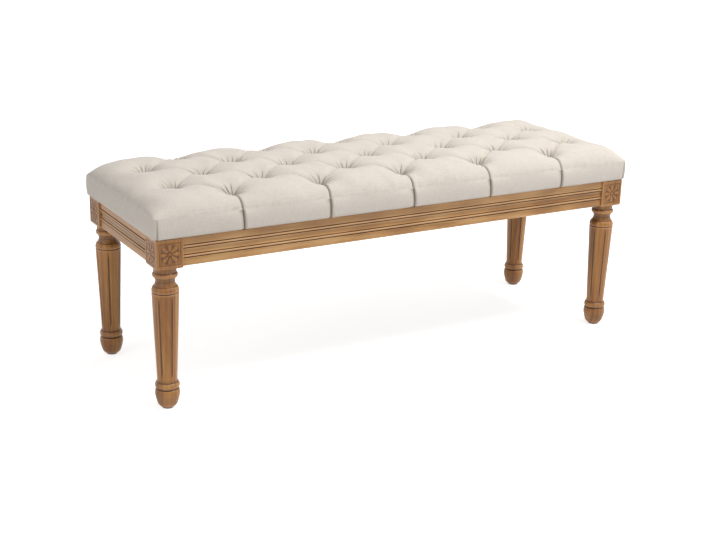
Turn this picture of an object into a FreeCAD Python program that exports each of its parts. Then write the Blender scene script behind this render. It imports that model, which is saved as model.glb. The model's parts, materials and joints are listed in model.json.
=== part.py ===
"""Upholstered bench with a diamond tufted seat on a moulded frame and four turned, fluted legs.

Frame: millimetres, +X along the bench, the front long side faces -Y, +Z up.
Origin: on the floor, under the middle of the seat.
"""

import FreeCAD
import Part
import Sketcher
import math
import os
from FreeCAD import Placement, Rotation, Vector

# Driving sizes in millimetres, degrees or counts
SIZES = {
    # Seat plan and frame layout
    "seat_length": 1200.0,
    "seat_width": 400.0,
    "leg_inset_x": 34.0,
    "leg_inset_y": 32.0,
    "frame_top": 370.0,
    # Square block at the head of each leg
    "block_width": 58.4,
    "block_height": 63.5,
    "block_rounding": 5.0,
    "corner_flat": 14.0,
    # Turned leg, measured up from the floor
    "glide_thickness": 2.5,
    "glide_diameter": 24.0,
    "foot_base_radius": 17.0,
    "foot_widest_height": 28.0,
    "foot_widest_radius": 25.5,
    "foot_bulge": 1.7,
    "foot_shoulder_bulge": 0.5,
    "foot_groove_radius": 23.3,
    "ring_height": 51.0,
    "ring_half_width": 6.5,
    "ring_bulge": 1.95,
    "shaft_foot_height": 64.0,
    "shaft_foot_radius": 20.8,
    "shaft_top_height": 252.0,
    "shaft_top_radius": 28.1,
    "collar_groove_depth": 1.3,
    "collar_groove_width": 3.0,
    "collar_bead_height": 10.5,
    "collar_bead_bulge": 0.9,
    "collar_lip_radius": 25.4,
    "collar_lip_step": 1.4,
    "neck_height": 277.5,
    "neck_radius": 19.9,
    "neck_cove": 0.55,
    "cup_height": 285.5,
    "cup_radius": 23.0,
    "bead_step": 2.0,
    "bead_width": 9.0,
    "bead_bulge": 0.7,
    "head_radius": 24.0,
    # Flutes of the leg
    "flute_count": 6,
    "flute_width": 4.0,
    "flute_depth": 1.8,
    "flute_end_margin": 7.0,
    "flute_turn_front_left": 278.0,
    "flute_turn_front_right": 256.0,
    "flute_turn_back_right": 260.0,
    "flute_turn_back_left": 250.0,
    # Carved rosette of the block
    "rosette_side": 46.0,
    "rosette_recess": 1.6,
    "rosette_petals": 8,
    "petal_start": 4.2,
    "petal_wide_radius": 15.5,
    "petal_width": 10.2,
    "petal_tip_radius": 20.8,
    # Moulded rails
    "rail_height": 60.5,
    "rail_thickness": 22.0,
    "rail_setback": 4.0,
    "rail_edge_rounding": 2.0,
    "rail_bead_offset": 10.0,
    "rail_bead_width": 4.0,
    "rail_bead_bulge": 1.6,
    "rail_quirk_width": 1.6,
    "rail_quirk_depth": 2.2,
    "rail_cove_depth": 1.4,
    # Stub tenons of the rails
    "tenon_length": 14.0,
    "tenon_height": 34.0,
    "tenon_thickness": 8.0,
    "tenon_clearance": 0.1,
    "tenon_end_gap": 0.8,
    # Cross rail under the seat board
    "cross_rail_height": 45.0,
    "cross_rail_thickness": 24.0,
    # Corner brackets of pressed steel
    "bracket_height": 40.0,
    "bracket_sheet": 2.0,
    "bracket_wing": 34.0,
    "bracket_gap": 0.3,
    "bolt_hole_clearance": 0.5,
    # Hanger bolts
    "bolt_diameter": 8.0,
    "bolt_length": 62.0,
    "bolt_in_leg": 40.0,
    "bolt_end_gap": 1.0,
    "bolt_clearance": 0.15,
    "nut_across_flats": 13.0,
    "nut_thickness": 6.5,
    "thread_clearance": 0.1,
    # Angles that hold the seat board
    "angle_leg": 22.0,
    "angle_width": 20.0,
    "angle_sheet": 2.0,
    # Seat unit
    "dust_cover_thickness": 0.8,
    "dust_cover_inset": 12.0,
    "layer_clearance": 0.3,
    "cover_thickness": 1.4,
    "hem_width": 34.0,
    "board_thickness": 12.0,
    "board_inset": 7.0,
    "foam_thickness": 28.5,
    "foam_inset": 10.0,
    "side_height": 44.0,
    "side_bulge": 5.0,
    "pillow_height": 43.0,
    "edge_pillow_height": 36.0,
    "pillow_chords": 4,
    "side_chords": 2,
    "end_drop": 6.0,
    "end_rounding": 42.0,
    "corner_radius": 12.0,
    # Diamond tufting
    "tuft_columns": 5,
    "tuft_margin_x": 90.0,
    "tuft_margin_y": 50.0,
    "tuft_height": 417.0,
    "crease_rise": 10.0,
    "crease_width": 3.0,
    "pleat_depth": 5.0,
    "pleat_crown": 12.0,
    # Ties that pull the tufts down
    "tie_width": 4.0,
    "tie_thickness": 1.0,
    "tie_slot_clearance": 0.3,
    "toggle_length": 14.0,
    "toggle_width": 4.0,
    "toggle_thickness": 1.0,
}

doc = FreeCAD.newDocument("tufted_bench")
sheet = doc.addObject("Spreadsheet::Sheet", "Sizes")
for row, (name, number) in enumerate(SIZES.items(), start=1):
    sheet.set(f"A{row}", name)
    sheet.set(f"B{row}", str(number))
    sheet.setAlias(f"B{row}", name)
doc.recompute()


class Size:
    """A length with its value and the sheet expression that gives it."""

    def __init__(self, value, text):
        self.value = float(value)
        self.text = text

    @staticmethod
    def of(other):
        return other if isinstance(other, Size) else Size(other, repr(float(other)))

    def join(self, other, sign, value):
        return Size(value, f"({self.text} {sign} {Size.of(other).text})")

    def __add__(self, other):
        return self.join(other, "+", self.value + Size.of(other).value)

    def __sub__(self, other):
        return self.join(other, "-", self.value - Size.of(other).value)

    def __mul__(self, other):
        return self.join(other, "*", self.value * Size.of(other).value)

    def __truediv__(self, other):
        return self.join(other, "/", self.value / Size.of(other).value)

    def __radd__(self, other):
        return Size.of(other) + self

    def __rsub__(self, other):
        return Size.of(other) - self

    def __rmul__(self, other):
        return Size.of(other) * self

    def __neg__(self):
        return Size(-self.value, f"(-1 * {self.text})")


class Sheet:
    """Reads each alias of the sheet as a Size."""

    def __getattr__(self, alias):
        return Size(sheet.get(alias), f"Sizes.{alias}")


S = Sheet()

# Levels and places that several pieces share
LEG_SPACING_X = S.seat_length - S.leg_inset_x * 2
LEG_SPACING_Y = S.seat_width - S.leg_inset_y * 2
TUFT_PITCH_X = (S.seat_length - S.tuft_margin_x * 2) / S.tuft_columns
TUFT_PITCH_Y = (S.seat_width - S.tuft_margin_y * 2) / 4
BLOCK_BOTTOM = S.frame_top - S.block_height
RAIL_BOTTOM = S.frame_top - S.rail_height
RAIL_MIDDLE = S.frame_top - S.rail_height / 2
HALF_BLOCK = S.block_width / 2
RAIL_FACE_X = LEG_SPACING_X / 2 + HALF_BLOCK - S.rail_setback
RAIL_FACE_Y = LEG_SPACING_Y / 2 + HALF_BLOCK - S.rail_setback
RAIL_INNER_X = RAIL_FACE_X - S.rail_thickness
RAIL_INNER_Y = RAIL_FACE_Y - S.rail_thickness
LONG_RAIL = LEG_SPACING_X - S.block_width
SHORT_RAIL = LEG_SPACING_Y - S.block_width
TENON_SETBACK = HALF_BLOCK - S.rail_setback - S.rail_thickness / 2
DUST_TOP = S.frame_top + S.dust_cover_thickness
HEM_BOTTOM = DUST_TOP + S.layer_clearance
BOARD_BOTTOM = HEM_BOTTOM + S.cover_thickness + S.layer_clearance
BOARD_TOP = BOARD_BOTTOM + S.board_thickness
FOAM_BOTTOM = BOARD_TOP + S.layer_clearance
FOAM_TOP = FOAM_BOTTOM + S.foam_thickness
CORNER_FLAT_DISTANCE = (HALF_BLOCK - S.corner_flat / 2) * math.sqrt(2)


def bind(target, prop, size):
    """Tie a property to its expression in the sheet."""
    target.setExpression(prop, Size.of(size).text)


def plane(body, role):
    """One of the body's own origin planes or axes."""
    return next(f for f in body.Origin.OriginFeatures if f.Role == role)


def sketch_on(body, role, name, lift=None):
    """A sketch on an origin plane of its body, lifted along the plane's normal."""
    sketch = body.newObject("Sketcher::SketchObject", name)
    sketch.AttachmentSupport = (plane(body, role), [""])
    sketch.MapMode = "FlatFace"
    if lift is not None:
        bind(sketch, "AttachmentOffset.Base.z", lift)
    return sketch


def constrain(sketch, kind, places, size):
    """Add a size to a sketch and tie it to the sheet."""
    index = sketch.addConstraint(Sketcher.Constraint(kind, *places, Size.of(size).value))
    bind(sketch, f"Constraints[{index}]", size)


def outline(sketch, points, bulges=None):
    """Closed outline through points; a bulge on a side makes that side an arc.

    A positive bulge stands out on the right of the way from point to point.
    """
    bulges = bulges or {}
    count = len(points)
    places = [Vector(Size.of(u).value, Size.of(v).value, 0) for u, v in points]
    for index in range(count):
        start = places[index]
        end = places[(index + 1) % count]
        if index in bulges:
            chord = end - start
            side = Vector(chord.y, -chord.x, 0).normalize()
            middle = (start + end) * 0.5 + side * Size.of(bulges[index]).value
            outwards = Size.of(bulges[index]).value > 0
            first, last = (start, end) if outwards else (end, start)
            sketch.addGeometry(Part.Arc(first, middle, last), False)
        else:
            sketch.addGeometry(Part.LineSegment(start, end), False)
    ends = []
    for index in range(count):
        curve = sketch.Geometry[index]
        swapped = curve.StartPoint.distanceToPoint(places[index]) > 1e-4
        ends.append((2, 1) if swapped else (1, 2))
    for index in range(count):
        following = (index + 1) % count
        sketch.addConstraint(
            Sketcher.Constraint("Coincident", index, ends[index][1], following, ends[following][0])
        )
    for index, (u, v) in enumerate(points):
        for kind, along in (("DistanceX", u), ("DistanceY", v)):
            constrain(sketch, kind, (-1, 1, index, ends[index][0]), along)
    for index, bulge in bulges.items():
        start = points[index]
        end = points[(index + 1) % count]
        across = Size.of(end[0]) - Size.of(start[0])
        along = Size.of(end[1]) - Size.of(start[1])
        square = across * across + along * along
        height = Size.of(bulge)
        if height.value < 0:
            height = -height
        constrain(sketch, "Radius", (index,), square / (8 * height) + height / 2)


def circle(sketch, centre, radius):
    """A circle with its centre and radius tied to the sheet."""
    u, v = centre
    index = sketch.addGeometry(
        Part.Circle(Vector(Size.of(u).value, Size.of(v).value, 0), Vector(0, 0, 1), radius.value)
    )
    constrain(sketch, "DistanceX", (-1, 1, index, 3), u)
    constrain(sketch, "DistanceY", (-1, 1, index, 3), v)
    constrain(sketch, "Radius", (index,), radius)


def pad(body, sketch, length, symmetric=False):
    """Pad a sketch by a length of the sheet."""
    feature = body.newObject("PartDesign::Pad", f"{sketch.Name}_pad")
    feature.Profile = sketch
    bind(feature, "Length", length)
    if symmetric:
        feature.SideType = "Symmetric"
    body.Tip = feature
    return feature


def pocket(body, sketch, length, reverse=False):
    """Cut a sketch into the body by a length of the sheet."""
    feature = body.newObject("PartDesign::Pocket", f"{sketch.Name}_pocket")
    feature.Profile = sketch
    bind(feature, "Length", length)
    feature.Reversed = reverse
    body.Tip = feature
    return feature


def new_body(name):
    """A body with its label."""
    body = doc.addObject("PartDesign::Body", name)
    body.Label = name
    return body


# Each corner of the bench: its name, the side it lies on and the turn of its leg
CORNERS = (
    ("front_left", -1, -1, 0),
    ("front_right", 1, -1, 90),
    ("back_right", 1, 1, 180),
    ("back_left", -1, 1, 270),
)
Z_AXIS = Vector(0, 0, 1)


def place(piece, x=0.0, y=0.0, z=0.0, turn=0):
    """Set a piece at a place of the sheet, turned about a vertical line."""
    spots = [Size.of(along) for along in (x, y, z)]
    piece.Placement = Placement(Vector(*(spot.value for spot in spots)), Rotation(Z_AXIS, turn))
    for letter, spot in zip("xyz", spots):
        bind(piece, f"Placement.Base.{letter}", spot)


def at_corner(side_x, side_y, turn):
    """Placement of a corner's leg axis."""
    spot = Vector(side_x * LEG_SPACING_X.value / 2, side_y * LEG_SPACING_Y.value / 2, 0)
    return Placement(spot, Rotation(Z_AXIS, turn))


def turned_sketch(body, role, name, turn, lift=None):
    """A sketch on an upright origin plane that is turned about the body's Z axis."""
    sketch = sketch_on(body, role, name)
    tilt = Rotation(Vector(0, 1, 0), Size.of(turn).value)
    reach = Size.of(lift if lift is not None else 0.0)
    sketch.AttachmentOffset = Placement(tilt.multVec(Vector(0, 0, reach.value)), tilt)
    return sketch


# Legs

def turn_leg(body):
    """The turned foot, shaft, collar and neck, revolved about the leg axis."""
    ring_bottom = S.ring_height - S.ring_half_width
    ring_top = S.ring_height + S.ring_half_width
    groove_middle = S.shaft_top_height + S.collar_groove_width / 2
    collar_bottom = S.shaft_top_height + S.collar_groove_width
    collar_top = collar_bottom + S.collar_bead_height
    bead_foot = S.cup_radius + S.bead_step
    points = [
        (0.0, S.glide_thickness),
        (S.foot_base_radius, S.glide_thickness),
        (S.foot_widest_radius, S.foot_widest_height),
        (S.foot_groove_radius, ring_bottom),
        (S.foot_groove_radius, ring_top),
        (S.shaft_foot_radius, S.shaft_foot_height),
        (S.shaft_top_radius, S.shaft_top_height),
        (S.shaft_top_radius - S.collar_groove_depth, groove_middle),
        (S.shaft_top_radius, collar_bottom),
        (S.collar_lip_radius, collar_top),
        (S.collar_lip_radius - S.collar_lip_step, collar_top),
        (S.neck_radius, S.neck_height),
        (S.cup_radius, S.cup_height),
        (bead_foot, S.cup_height),
        (bead_foot, S.cup_height + S.bead_width),
        (S.head_radius, BLOCK_BOTTOM),
        (0.0, BLOCK_BOTTOM),
    ]
    bulges = {
        1: S.foot_bulge,
        2: S.foot_shoulder_bulge,
        3: S.ring_bulge,
        8: S.collar_bead_bulge,
        10: -S.neck_cove,
        13: S.bead_bulge,
    }
    sketch = sketch_on(body, "XZ_Plane", "turning")
    outline(sketch, points, bulges)
    feature = body.newObject("PartDesign::Revolution", "turned_leg")
    feature.Profile = sketch
    feature.ReferenceAxis = (sketch, ["V_Axis"])
    feature.Angle = 360
    body.Tip = feature


def flute_leg(body, turn):
    """Stopped flutes with slanting ends, cut along the taper of the shaft."""
    foot_z = S.shaft_foot_height + S.flute_end_margin
    top_z = S.shaft_top_height - S.flute_end_margin
    slope = (S.shaft_top_radius - S.shaft_foot_radius) / (S.shaft_top_height - S.shaft_foot_height)
    foot_r = S.shaft_foot_radius + slope * S.flute_end_margin
    top_r = S.shaft_top_radius - slope * S.flute_end_margin
    sketch = turned_sketch(body, "XZ_Plane", "flute", turn)
    outline(sketch, [
        (foot_r + S.flute_depth, foot_z - S.flute_depth * 2),
        (top_r + S.flute_depth, top_z + S.flute_depth * 2),
        (top_r - S.flute_depth, top_z - S.flute_depth * 2),
        (foot_r - S.flute_depth, foot_z + S.flute_depth * 2),
    ])
    cut = pocket(body, sketch, S.flute_width)
    cut.SideType = "Symmetric"
    pattern = body.newObject("PartDesign::PolarPattern", "flutes")
    pattern.Originals = [cut]
    pattern.Axis = (plane(body, "Z_Axis"), [""])
    pattern.Angle = 360
    bind(pattern, "Occurrences", S.flute_count)
    body.Tip = pattern


def edges_at(shape, height, length):
    """Names of the straight level edges at a height, at least as long as a length."""
    names = []
    for number, edge in enumerate(shape.Edges, start=1):
        level = all(abs(vertex.Z - height) < 1e-4 for vertex in edge.Vertexes)
        straight = edge.Curve.TypeId == "Part::GeomLine"
        if level and straight and edge.Length > length:
            names.append(f"Edge{number}")
    return names


def head_block(body):
    """The square block, with its inner corner cut flat and its lower edges rounded."""
    sketch = sketch_on(body, "XY_Plane", "block", BLOCK_BOTTOM)
    inner = HALF_BLOCK - S.corner_flat
    outline(sketch, [
        (-HALF_BLOCK, -HALF_BLOCK),
        (HALF_BLOCK, -HALF_BLOCK),
        (HALF_BLOCK, inner),
        (inner, HALF_BLOCK),
        (-HALF_BLOCK, HALF_BLOCK),
    ])
    block = pad(body, sketch, S.block_height)
    doc.recompute()
    rounding = body.newObject("PartDesign::Fillet", "block_rounding")
    lower_edges = edges_at(block.Shape, BLOCK_BOTTOM.value, HALF_BLOCK.value)
    rounding.Base = (block, lower_edges)
    bind(rounding, "Radius", S.block_rounding)
    body.Tip = rounding


def carve_rosette(body, role, lift, reverse):
    """A sunk square on a face of the block, with a ring of raised petals."""
    half = S.rosette_side / 2
    middle = S.frame_top - S.block_height / 2

    def face_sketch(name, depth):
        sketch = sketch_on(body, role, f"{name}_{role[:2]}", depth)
        bind(sketch, "AttachmentOffset.Base.y", middle)
        return sketch

    square = face_sketch("rosette_ground", lift)
    outline(square, [(-half, -half), (half, -half), (half, half), (-half, half)])
    pocket(body, square, S.rosette_recess, reverse)
    inward = S.rosette_recess if reverse else -S.rosette_recess
    petal = face_sketch("petal", lift + inward)
    outline(petal, [
        (S.petal_start, 0.0),
        (S.petal_wide_radius, -S.petal_width / 2),
        (S.petal_tip_radius, 0.0),
        (S.petal_wide_radius, S.petal_width / 2),
    ])
    raised = pad(body, petal, S.rosette_recess)
    raised.Reversed = reverse
    pattern = body.newObject("PartDesign::PolarPattern", f"petals_{role[:2]}")
    pattern.Originals = [raised]
    pattern.Axis = (petal, ["N_Axis"])
    pattern.Angle = 360
    bind(pattern, "Occurrences", S.rosette_petals)
    body.Tip = pattern


def rectangle(sketch, left, right, bottom, top):
    """A rectangle between two uprights and two levels of the sheet."""
    outline(sketch, [(left, bottom), (right, bottom), (right, top), (left, top)])


def cut_joints(body):
    """Mortises for the tenons of both rails and a blind bore for the hanger bolt."""
    half_thickness = S.tenon_thickness / 2 + S.tenon_clearance
    half_height = S.tenon_height / 2 + S.tenon_clearance
    depth = S.tenon_length + S.tenon_end_gap
    sides = (-TENON_SETBACK - half_thickness, -TENON_SETBACK + half_thickness)
    levels = (RAIL_MIDDLE - half_height, RAIL_MIDDLE + half_height)
    long_rail = sketch_on(body, "YZ_Plane", "mortise_long_rail", HALF_BLOCK)
    rectangle(long_rail, *sides, *levels)
    pocket(body, long_rail, depth)
    short_rail = sketch_on(body, "XZ_Plane", "mortise_short_rail", -HALF_BLOCK)
    rectangle(short_rail, *sides, *levels)
    pocket(body, short_rail, depth, reverse=True)
    bolt = turned_sketch(body, "XZ_Plane", "bolt_bore", 135, CORNER_FLAT_DISTANCE)
    circle(bolt, (0.0, RAIL_MIDDLE), S.bolt_diameter / 2 + S.bolt_clearance)
    pocket(body, bolt, S.bolt_in_leg + S.bolt_end_gap)


def make_leg(name, side_x, side_y, turn):
    """One leg in its own frame, its carved faces to -X and -Y, then set at its corner."""
    body = new_body(f"leg_{name}")
    turn_leg(body)
    flute_leg(body, getattr(S, f"flute_turn_{name}") - turn)
    head_block(body)
    carve_rosette(body, "XZ_Plane", HALF_BLOCK, False)
    carve_rosette(body, "YZ_Plane", -HALF_BLOCK, True)
    cut_joints(body)
    place(body, LEG_SPACING_X * side_x / 2, LEG_SPACING_Y * side_y / 2, 0.0, turn)
    return body


# Frame between the legs

def make_rail(name, length, x, y, turn):
    """A rail with two beads and a hollow between them, and a stub tenon at each end."""
    body = new_body(f"rail_{name}")
    face = -S.rail_thickness
    quirk = face + S.rail_quirk_depth
    middle = S.rail_height / 2
    half_bead = S.rail_bead_width / 2
    top = S.rail_height
    rounding = S.rail_edge_rounding
    dome = rounding * (1 - math.sqrt(0.5))
    points = [(0.0, 0.0), (0.0, top), (face + rounding, top), (face, top - rounding)]
    bulges = {2: -dome}
    for centre in (middle + S.rail_bead_offset, middle - S.rail_bead_offset):
        high = centre + half_bead
        low = centre - half_bead
        start = len(points)
        points += [
            (face, high + S.rail_quirk_width),
            (quirk, high + S.rail_quirk_width),
            (quirk, high),
            (quirk, low),
            (quirk, low - S.rail_quirk_width),
            (face, low - S.rail_quirk_width),
        ]
        bulges[start + 2] = -S.rail_bead_bulge
    bulges[9] = S.rail_cove_depth
    bulges[len(points)] = -dome
    points += [(face, rounding), (face + rounding, 0.0)]
    profile = sketch_on(body, "YZ_Plane", f"profile_{name}")
    outline(profile, points, bulges)
    pad(body, profile, length, symmetric=True)
    tenon = sketch_on(body, "YZ_Plane", f"tenon_{name}")
    centre = face / 2
    half = S.tenon_thickness / 2
    levels = (middle - S.tenon_height / 2, middle + S.tenon_height / 2)
    rectangle(tenon, centre - half, centre + half, *levels)
    pad(body, tenon, length + S.tenon_length * 2, symmetric=True)
    place(body, x, y, RAIL_BOTTOM, turn)
    return body


def make_cross_rail():
    """A plain rail across the middle, between the long rails, under the seat board."""
    rail = doc.addObject("Part::Box", "cross_rail")
    rail.Label = "cross_rail"
    bind(rail, "Length", S.cross_rail_thickness)
    bind(rail, "Width", RAIL_INNER_Y * 2)
    bind(rail, "Height", S.cross_rail_height)
    place(
        rail,
        -S.cross_rail_thickness / 2,
        -RAIL_INNER_Y,
        S.frame_top - S.cross_rail_height,
    )
    return rail


# Hardware of the frame

def make_bracket(name, side_x, side_y, turn):
    """A corner bracket: a plate across the corner with a wing along each rail."""
    body = new_body(f"corner_bracket_{name}")
    inner = HALF_BLOCK - S.rail_setback - S.rail_thickness
    edge = HALF_BLOCK + inner
    start = edge * 2 - S.corner_flat + S.bracket_gap * math.sqrt(2)
    far = start + S.bracket_wing
    bend = start + S.bracket_sheet * (math.sqrt(2) - 1)
    sheet_t = S.bracket_sheet
    plan = sketch_on(body, "XY_Plane", f"bracket_plan_{name}", RAIL_MIDDLE)
    corners = [
        (far, 0.0), (start, 0.0), (0.0, start), (0.0, far),
        (sheet_t, far), (sheet_t, bend), (bend, sheet_t), (far, sheet_t),
    ]
    outline(plan, [(u - inner, v - inner) for u, v in corners])
    pad(body, plan, S.bracket_height, symmetric=True)
    hole = turned_sketch(body, "XZ_Plane", f"bracket_hole_{name}", 135)
    circle(hole, (0.0, RAIL_MIDDLE), S.bolt_diameter / 2 + S.bolt_hole_clearance)
    pocket(body, hole, (start + S.bracket_wing) * 2).SideType = "Symmetric"
    place(body, LEG_SPACING_X * side_x / 2, LEG_SPACING_Y * side_y / 2, 0.0, turn)
    return body


def gather(label, pieces):
    """One node for fasteners that are all alike."""
    node = doc.addObject("Part::Compound", label)
    node.Label = label
    node.Links = pieces
    return node


def on_bolt_line(piece, side_x, side_y, turn, reach):
    """Set a piece on the diagonal of a corner, with its own Z axis pointing inwards."""
    inward = Rotation(Z_AXIS, turn + 45).multiply(Rotation(Vector(0, 1, 0), 90))
    along = Rotation(Z_AXIS, turn + 45).multVec(Vector(1, 0, 0)) * Size.of(reach).value
    spot = at_corner(side_x, side_y, turn).Base + Vector(0, 0, RAIL_MIDDLE.value) + along
    piece.Placement = Placement(spot, inward)


def make_bolts():
    """Hanger bolts, screwed into the legs through the brackets."""
    bolts = []
    for name, side_x, side_y, turn in CORNERS:
        bolt = doc.addObject("Part::Cylinder", f"bolt_{name}")
        bind(bolt, "Radius", S.bolt_diameter / 2)
        bind(bolt, "Height", S.bolt_length)
        on_bolt_line(bolt, side_x, side_y, turn, CORNER_FLAT_DISTANCE - S.bolt_in_leg)
        bolts.append(bolt)
    return gather("hanger_bolts", bolts)


def make_nuts():
    """Hexagon nuts that draw the brackets towards the legs."""
    inner = HALF_BLOCK - S.rail_setback - S.rail_thickness
    plate = (S.bracket_gap + S.bracket_sheet) + CORNER_FLAT_DISTANCE
    nuts = []
    for name, side_x, side_y, turn in CORNERS:
        hexagon = doc.addObject("Part::Prism", f"hexagon_{name}")
        hexagon.Polygon = 6
        bind(hexagon, "Circumradius", S.nut_across_flats / math.sqrt(3))
        bind(hexagon, "Height", S.nut_thickness)
        thread = doc.addObject("Part::Cylinder", f"nut_thread_{name}")
        bind(thread, "Radius", S.bolt_diameter / 2 + S.thread_clearance)
        bind(thread, "Height", S.nut_thickness)
        nut = doc.addObject("Part::Cut", f"nut_{name}")
        nut.Base = hexagon
        nut.Tool = thread
        on_bolt_line(nut, side_x, side_y, turn, plate)
        nuts.append(nut)
    return gather("bolt_nuts", nuts)


def make_glides():
    """A flat round glide under each foot."""
    glides = []
    for name, side_x, side_y, turn in CORNERS:
        glide = doc.addObject("Part::Cylinder", f"glide_{name}")
        bind(glide, "Radius", S.glide_diameter / 2)
        bind(glide, "Height", S.glide_thickness)
        place(glide, LEG_SPACING_X * side_x / 2, LEG_SPACING_Y * side_y / 2)
        glides.append(glide)
    return gather("foot_glides", glides)


def make_angles():
    """Angles on the inner faces of the rails that hold the seat board."""
    spots = [
        (S.seat_length / -4, -RAIL_INNER_Y, 0),
        (S.seat_length / 4, -RAIL_INNER_Y, 0),
        (S.seat_length / 4, RAIL_INNER_Y, 180),
        (S.seat_length / -4, RAIL_INNER_Y, 180),
        (-RAIL_INNER_X, Size.of(0.0), 270),
        (RAIL_INNER_X, Size.of(0.0), 90),
    ]
    angles = []
    for number, (x, y, turn) in enumerate(spots, start=1):
        angle = doc.addObject("PartDesign::Body", f"angle_{number}")
        profile = sketch_on(angle, "YZ_Plane", f"angle_profile_{number}")
        outline(profile, [
            (0.0, 0.0),
            (0.0, -S.angle_leg),
            (S.angle_sheet, -S.angle_leg),
            (S.angle_sheet, -S.angle_sheet),
            (S.angle_leg, -S.angle_sheet),
            (S.angle_leg, 0.0),
        ])
        pad(angle, profile, S.angle_width, symmetric=True)
        place(angle, x, y, S.frame_top, turn)
        angles.append(angle)
    return gather("seat_angles", angles)


# Seat unit

def computed(name, shape):
    """A piece whose form is worked out from the sheet."""
    piece = doc.addObject("Part::Feature", name)
    piece.Label = name
    piece.Shape = shape
    return piece


def slab(half_x, half_y, bottom, top):
    """A flat slab about the middle of the bench, between two levels."""
    corner = Vector(-half_x.value, -half_y.value, bottom.value)
    return Part.makeBox(2 * half_x.value, 2 * half_y.value, top.value - bottom.value, corner)


def tuft_places():
    """The plan position of every tuft: five rows, the second and fourth half a step over."""
    columns = int(S.tuft_columns.value)
    places = []
    for row in range(-2, 3):
        count = columns + row % 2
        for index in range(count):
            across = (index - (count - 1) / 2) * TUFT_PITCH_X.value
            places.append((across, row * TUFT_PITCH_Y.value))
    return places


def at_tufts(length, width, bottom, top):
    """A small flat piece at every tuft, between two levels."""
    pieces = []
    for across, along in tuft_places():
        corner = Vector(across - length.value / 2, along - width.value / 2, bottom.value)
        pieces.append(Part.makeBox(length.value, width.value, top.value - bottom.value, corner))
    return Part.makeCompound(pieces)


def tie_slots(bottom, top):
    """Slots for the ties, through a layer of the seat."""
    length = S.tie_width + S.tie_slot_clearance * 2
    width = S.tie_thickness + S.tie_slot_clearance * 2
    return at_tufts(length, width, bottom, top)


def along_arc(start, end, bulge, count):
    """Points along an arc across the bench, bulging to the left of its way."""
    chord = end - start
    side = Vector(0, -chord.z, chord.y).normalize()
    curve = Part.Arc(start, (start + end) * 0.5 + side * bulge, end).toShape()
    points = curve.discretize(Number=count + 1)
    return points if points[0].isEqual(start, 1e-6) else points[::-1]


def cushion_wire(x, half, foot, side_bulge, crests):
    """Outline across the cushion: bulging sides, a row of pillows and a flat bottom.

    Each crest has its place and level, and the rise of the pillow that follows it. Every
    rise is drawn with a few chords, so that the panels between two outlines stay simple.
    """
    places = [Vector(x, -half, foot)]
    places += [Vector(x, y, z) for y, z, rise in crests]
    places += [Vector(x, half, foot)]
    pillow = int(S.pillow_chords.value)
    side = int(S.side_chords.value)
    rises = [(side_bulge, side)]
    rises += [(rise, pillow) for y, z, rise in crests[:-1]]
    rises += [(side_bulge, side)]
    points = places[:1]
    for start, end, (rise, count) in zip(places, places[1:], rises):
        points += along_arc(start, end, rise, count)[1:]
    return Part.makePolygon(points + places[:1])


def fall(part):
    """How far a quarter round has fallen, from 0 at its start to 1 at its end."""
    return 1 - math.sqrt(1 - min(1.0, max(0.0, part)) ** 2)


def column_share(x):
    """0 over a tuft of the odd rows, 1 over a tuft of the even rows."""
    step = (x / TUFT_PITCH_X.value + (S.tuft_columns.value - 1) / 2) % 1.0
    return 1 - abs(1 - 2 * step)


def pillow_rise(width):
    """Height of a pillow above its creases, as steep for a narrow one as for a wide one."""
    return S.pillow_height.value * width / (TUFT_PITCH_Y.value * 2)


def cushion_section(x):
    """The outline of the cushion at a place along the bench."""
    last = S.tuft_columns.value * TUFT_PITCH_X.value / 2
    end = S.seat_length.value / 2
    beyond = max(0.0, abs(x) - last)
    fade = math.sin(math.pi / 2 * min(1.0, beyond / (end - last) / 0.6))
    share = 1.0 if beyond else column_share(x)
    swell = math.sin(math.pi / 2 * share)
    corner = fall((abs(x) - end + S.corner_radius.value) / S.corner_radius.value)
    half = S.seat_width.value / 2 - S.corner_radius.value * corner
    foot = HEM_BOTTOM.value
    shoulder = foot + S.side_height.value
    drop = fall((abs(x) - end + S.end_rounding.value) / S.end_rounding.value)
    crown = S.tuft_height.value + S.pillow_height.value - S.end_drop.value * fade
    crown = shoulder + (crown - shoulder) * (1 - drop)
    crease = S.tuft_height.value + S.crease_rise.value * math.sin(math.pi * share)
    crease += (crown - crease) * fade
    rounded_off = (crown - shoulder) / (S.tuft_height.value + S.pillow_height.value - shoulder)
    edge_rise = S.pleat_crown.value + (S.edge_pillow_height.value - S.pleat_crown.value) * swell
    edge_rise += (S.end_rounding.value * 0.36 * rounded_off - edge_rise) * fade
    shoulder_y = half - S.pleat_depth.value * (1 - swell)
    least = S.crease_width.value / 2
    inner = max(least, TUFT_PITCH_Y.value * share - least)
    outer = max(inner + least * 2, TUFT_PITCH_Y.value * (2 - share))
    middle = pillow_rise(inner * 2) * (1 - fade)
    flank = pillow_rise(outer - inner) * (1 - fade)
    flat = S.crease_width.value / 10
    crests = [
        (-shoulder_y, shoulder, max(flat, edge_rise)),
        (-outer, crease, max(flat, flank)),
        (-inner, crease, max(flat, middle)),
        (inner, crease, max(flat, flank)),
        (outer, crease, max(flat, edge_rise)),
        (shoulder_y, shoulder, 0.0),
    ]
    side_bulge = S.side_bulge.value * swell + flat * (1 - swell)
    return cushion_wire(x, half, foot, side_bulge, crests)


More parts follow.
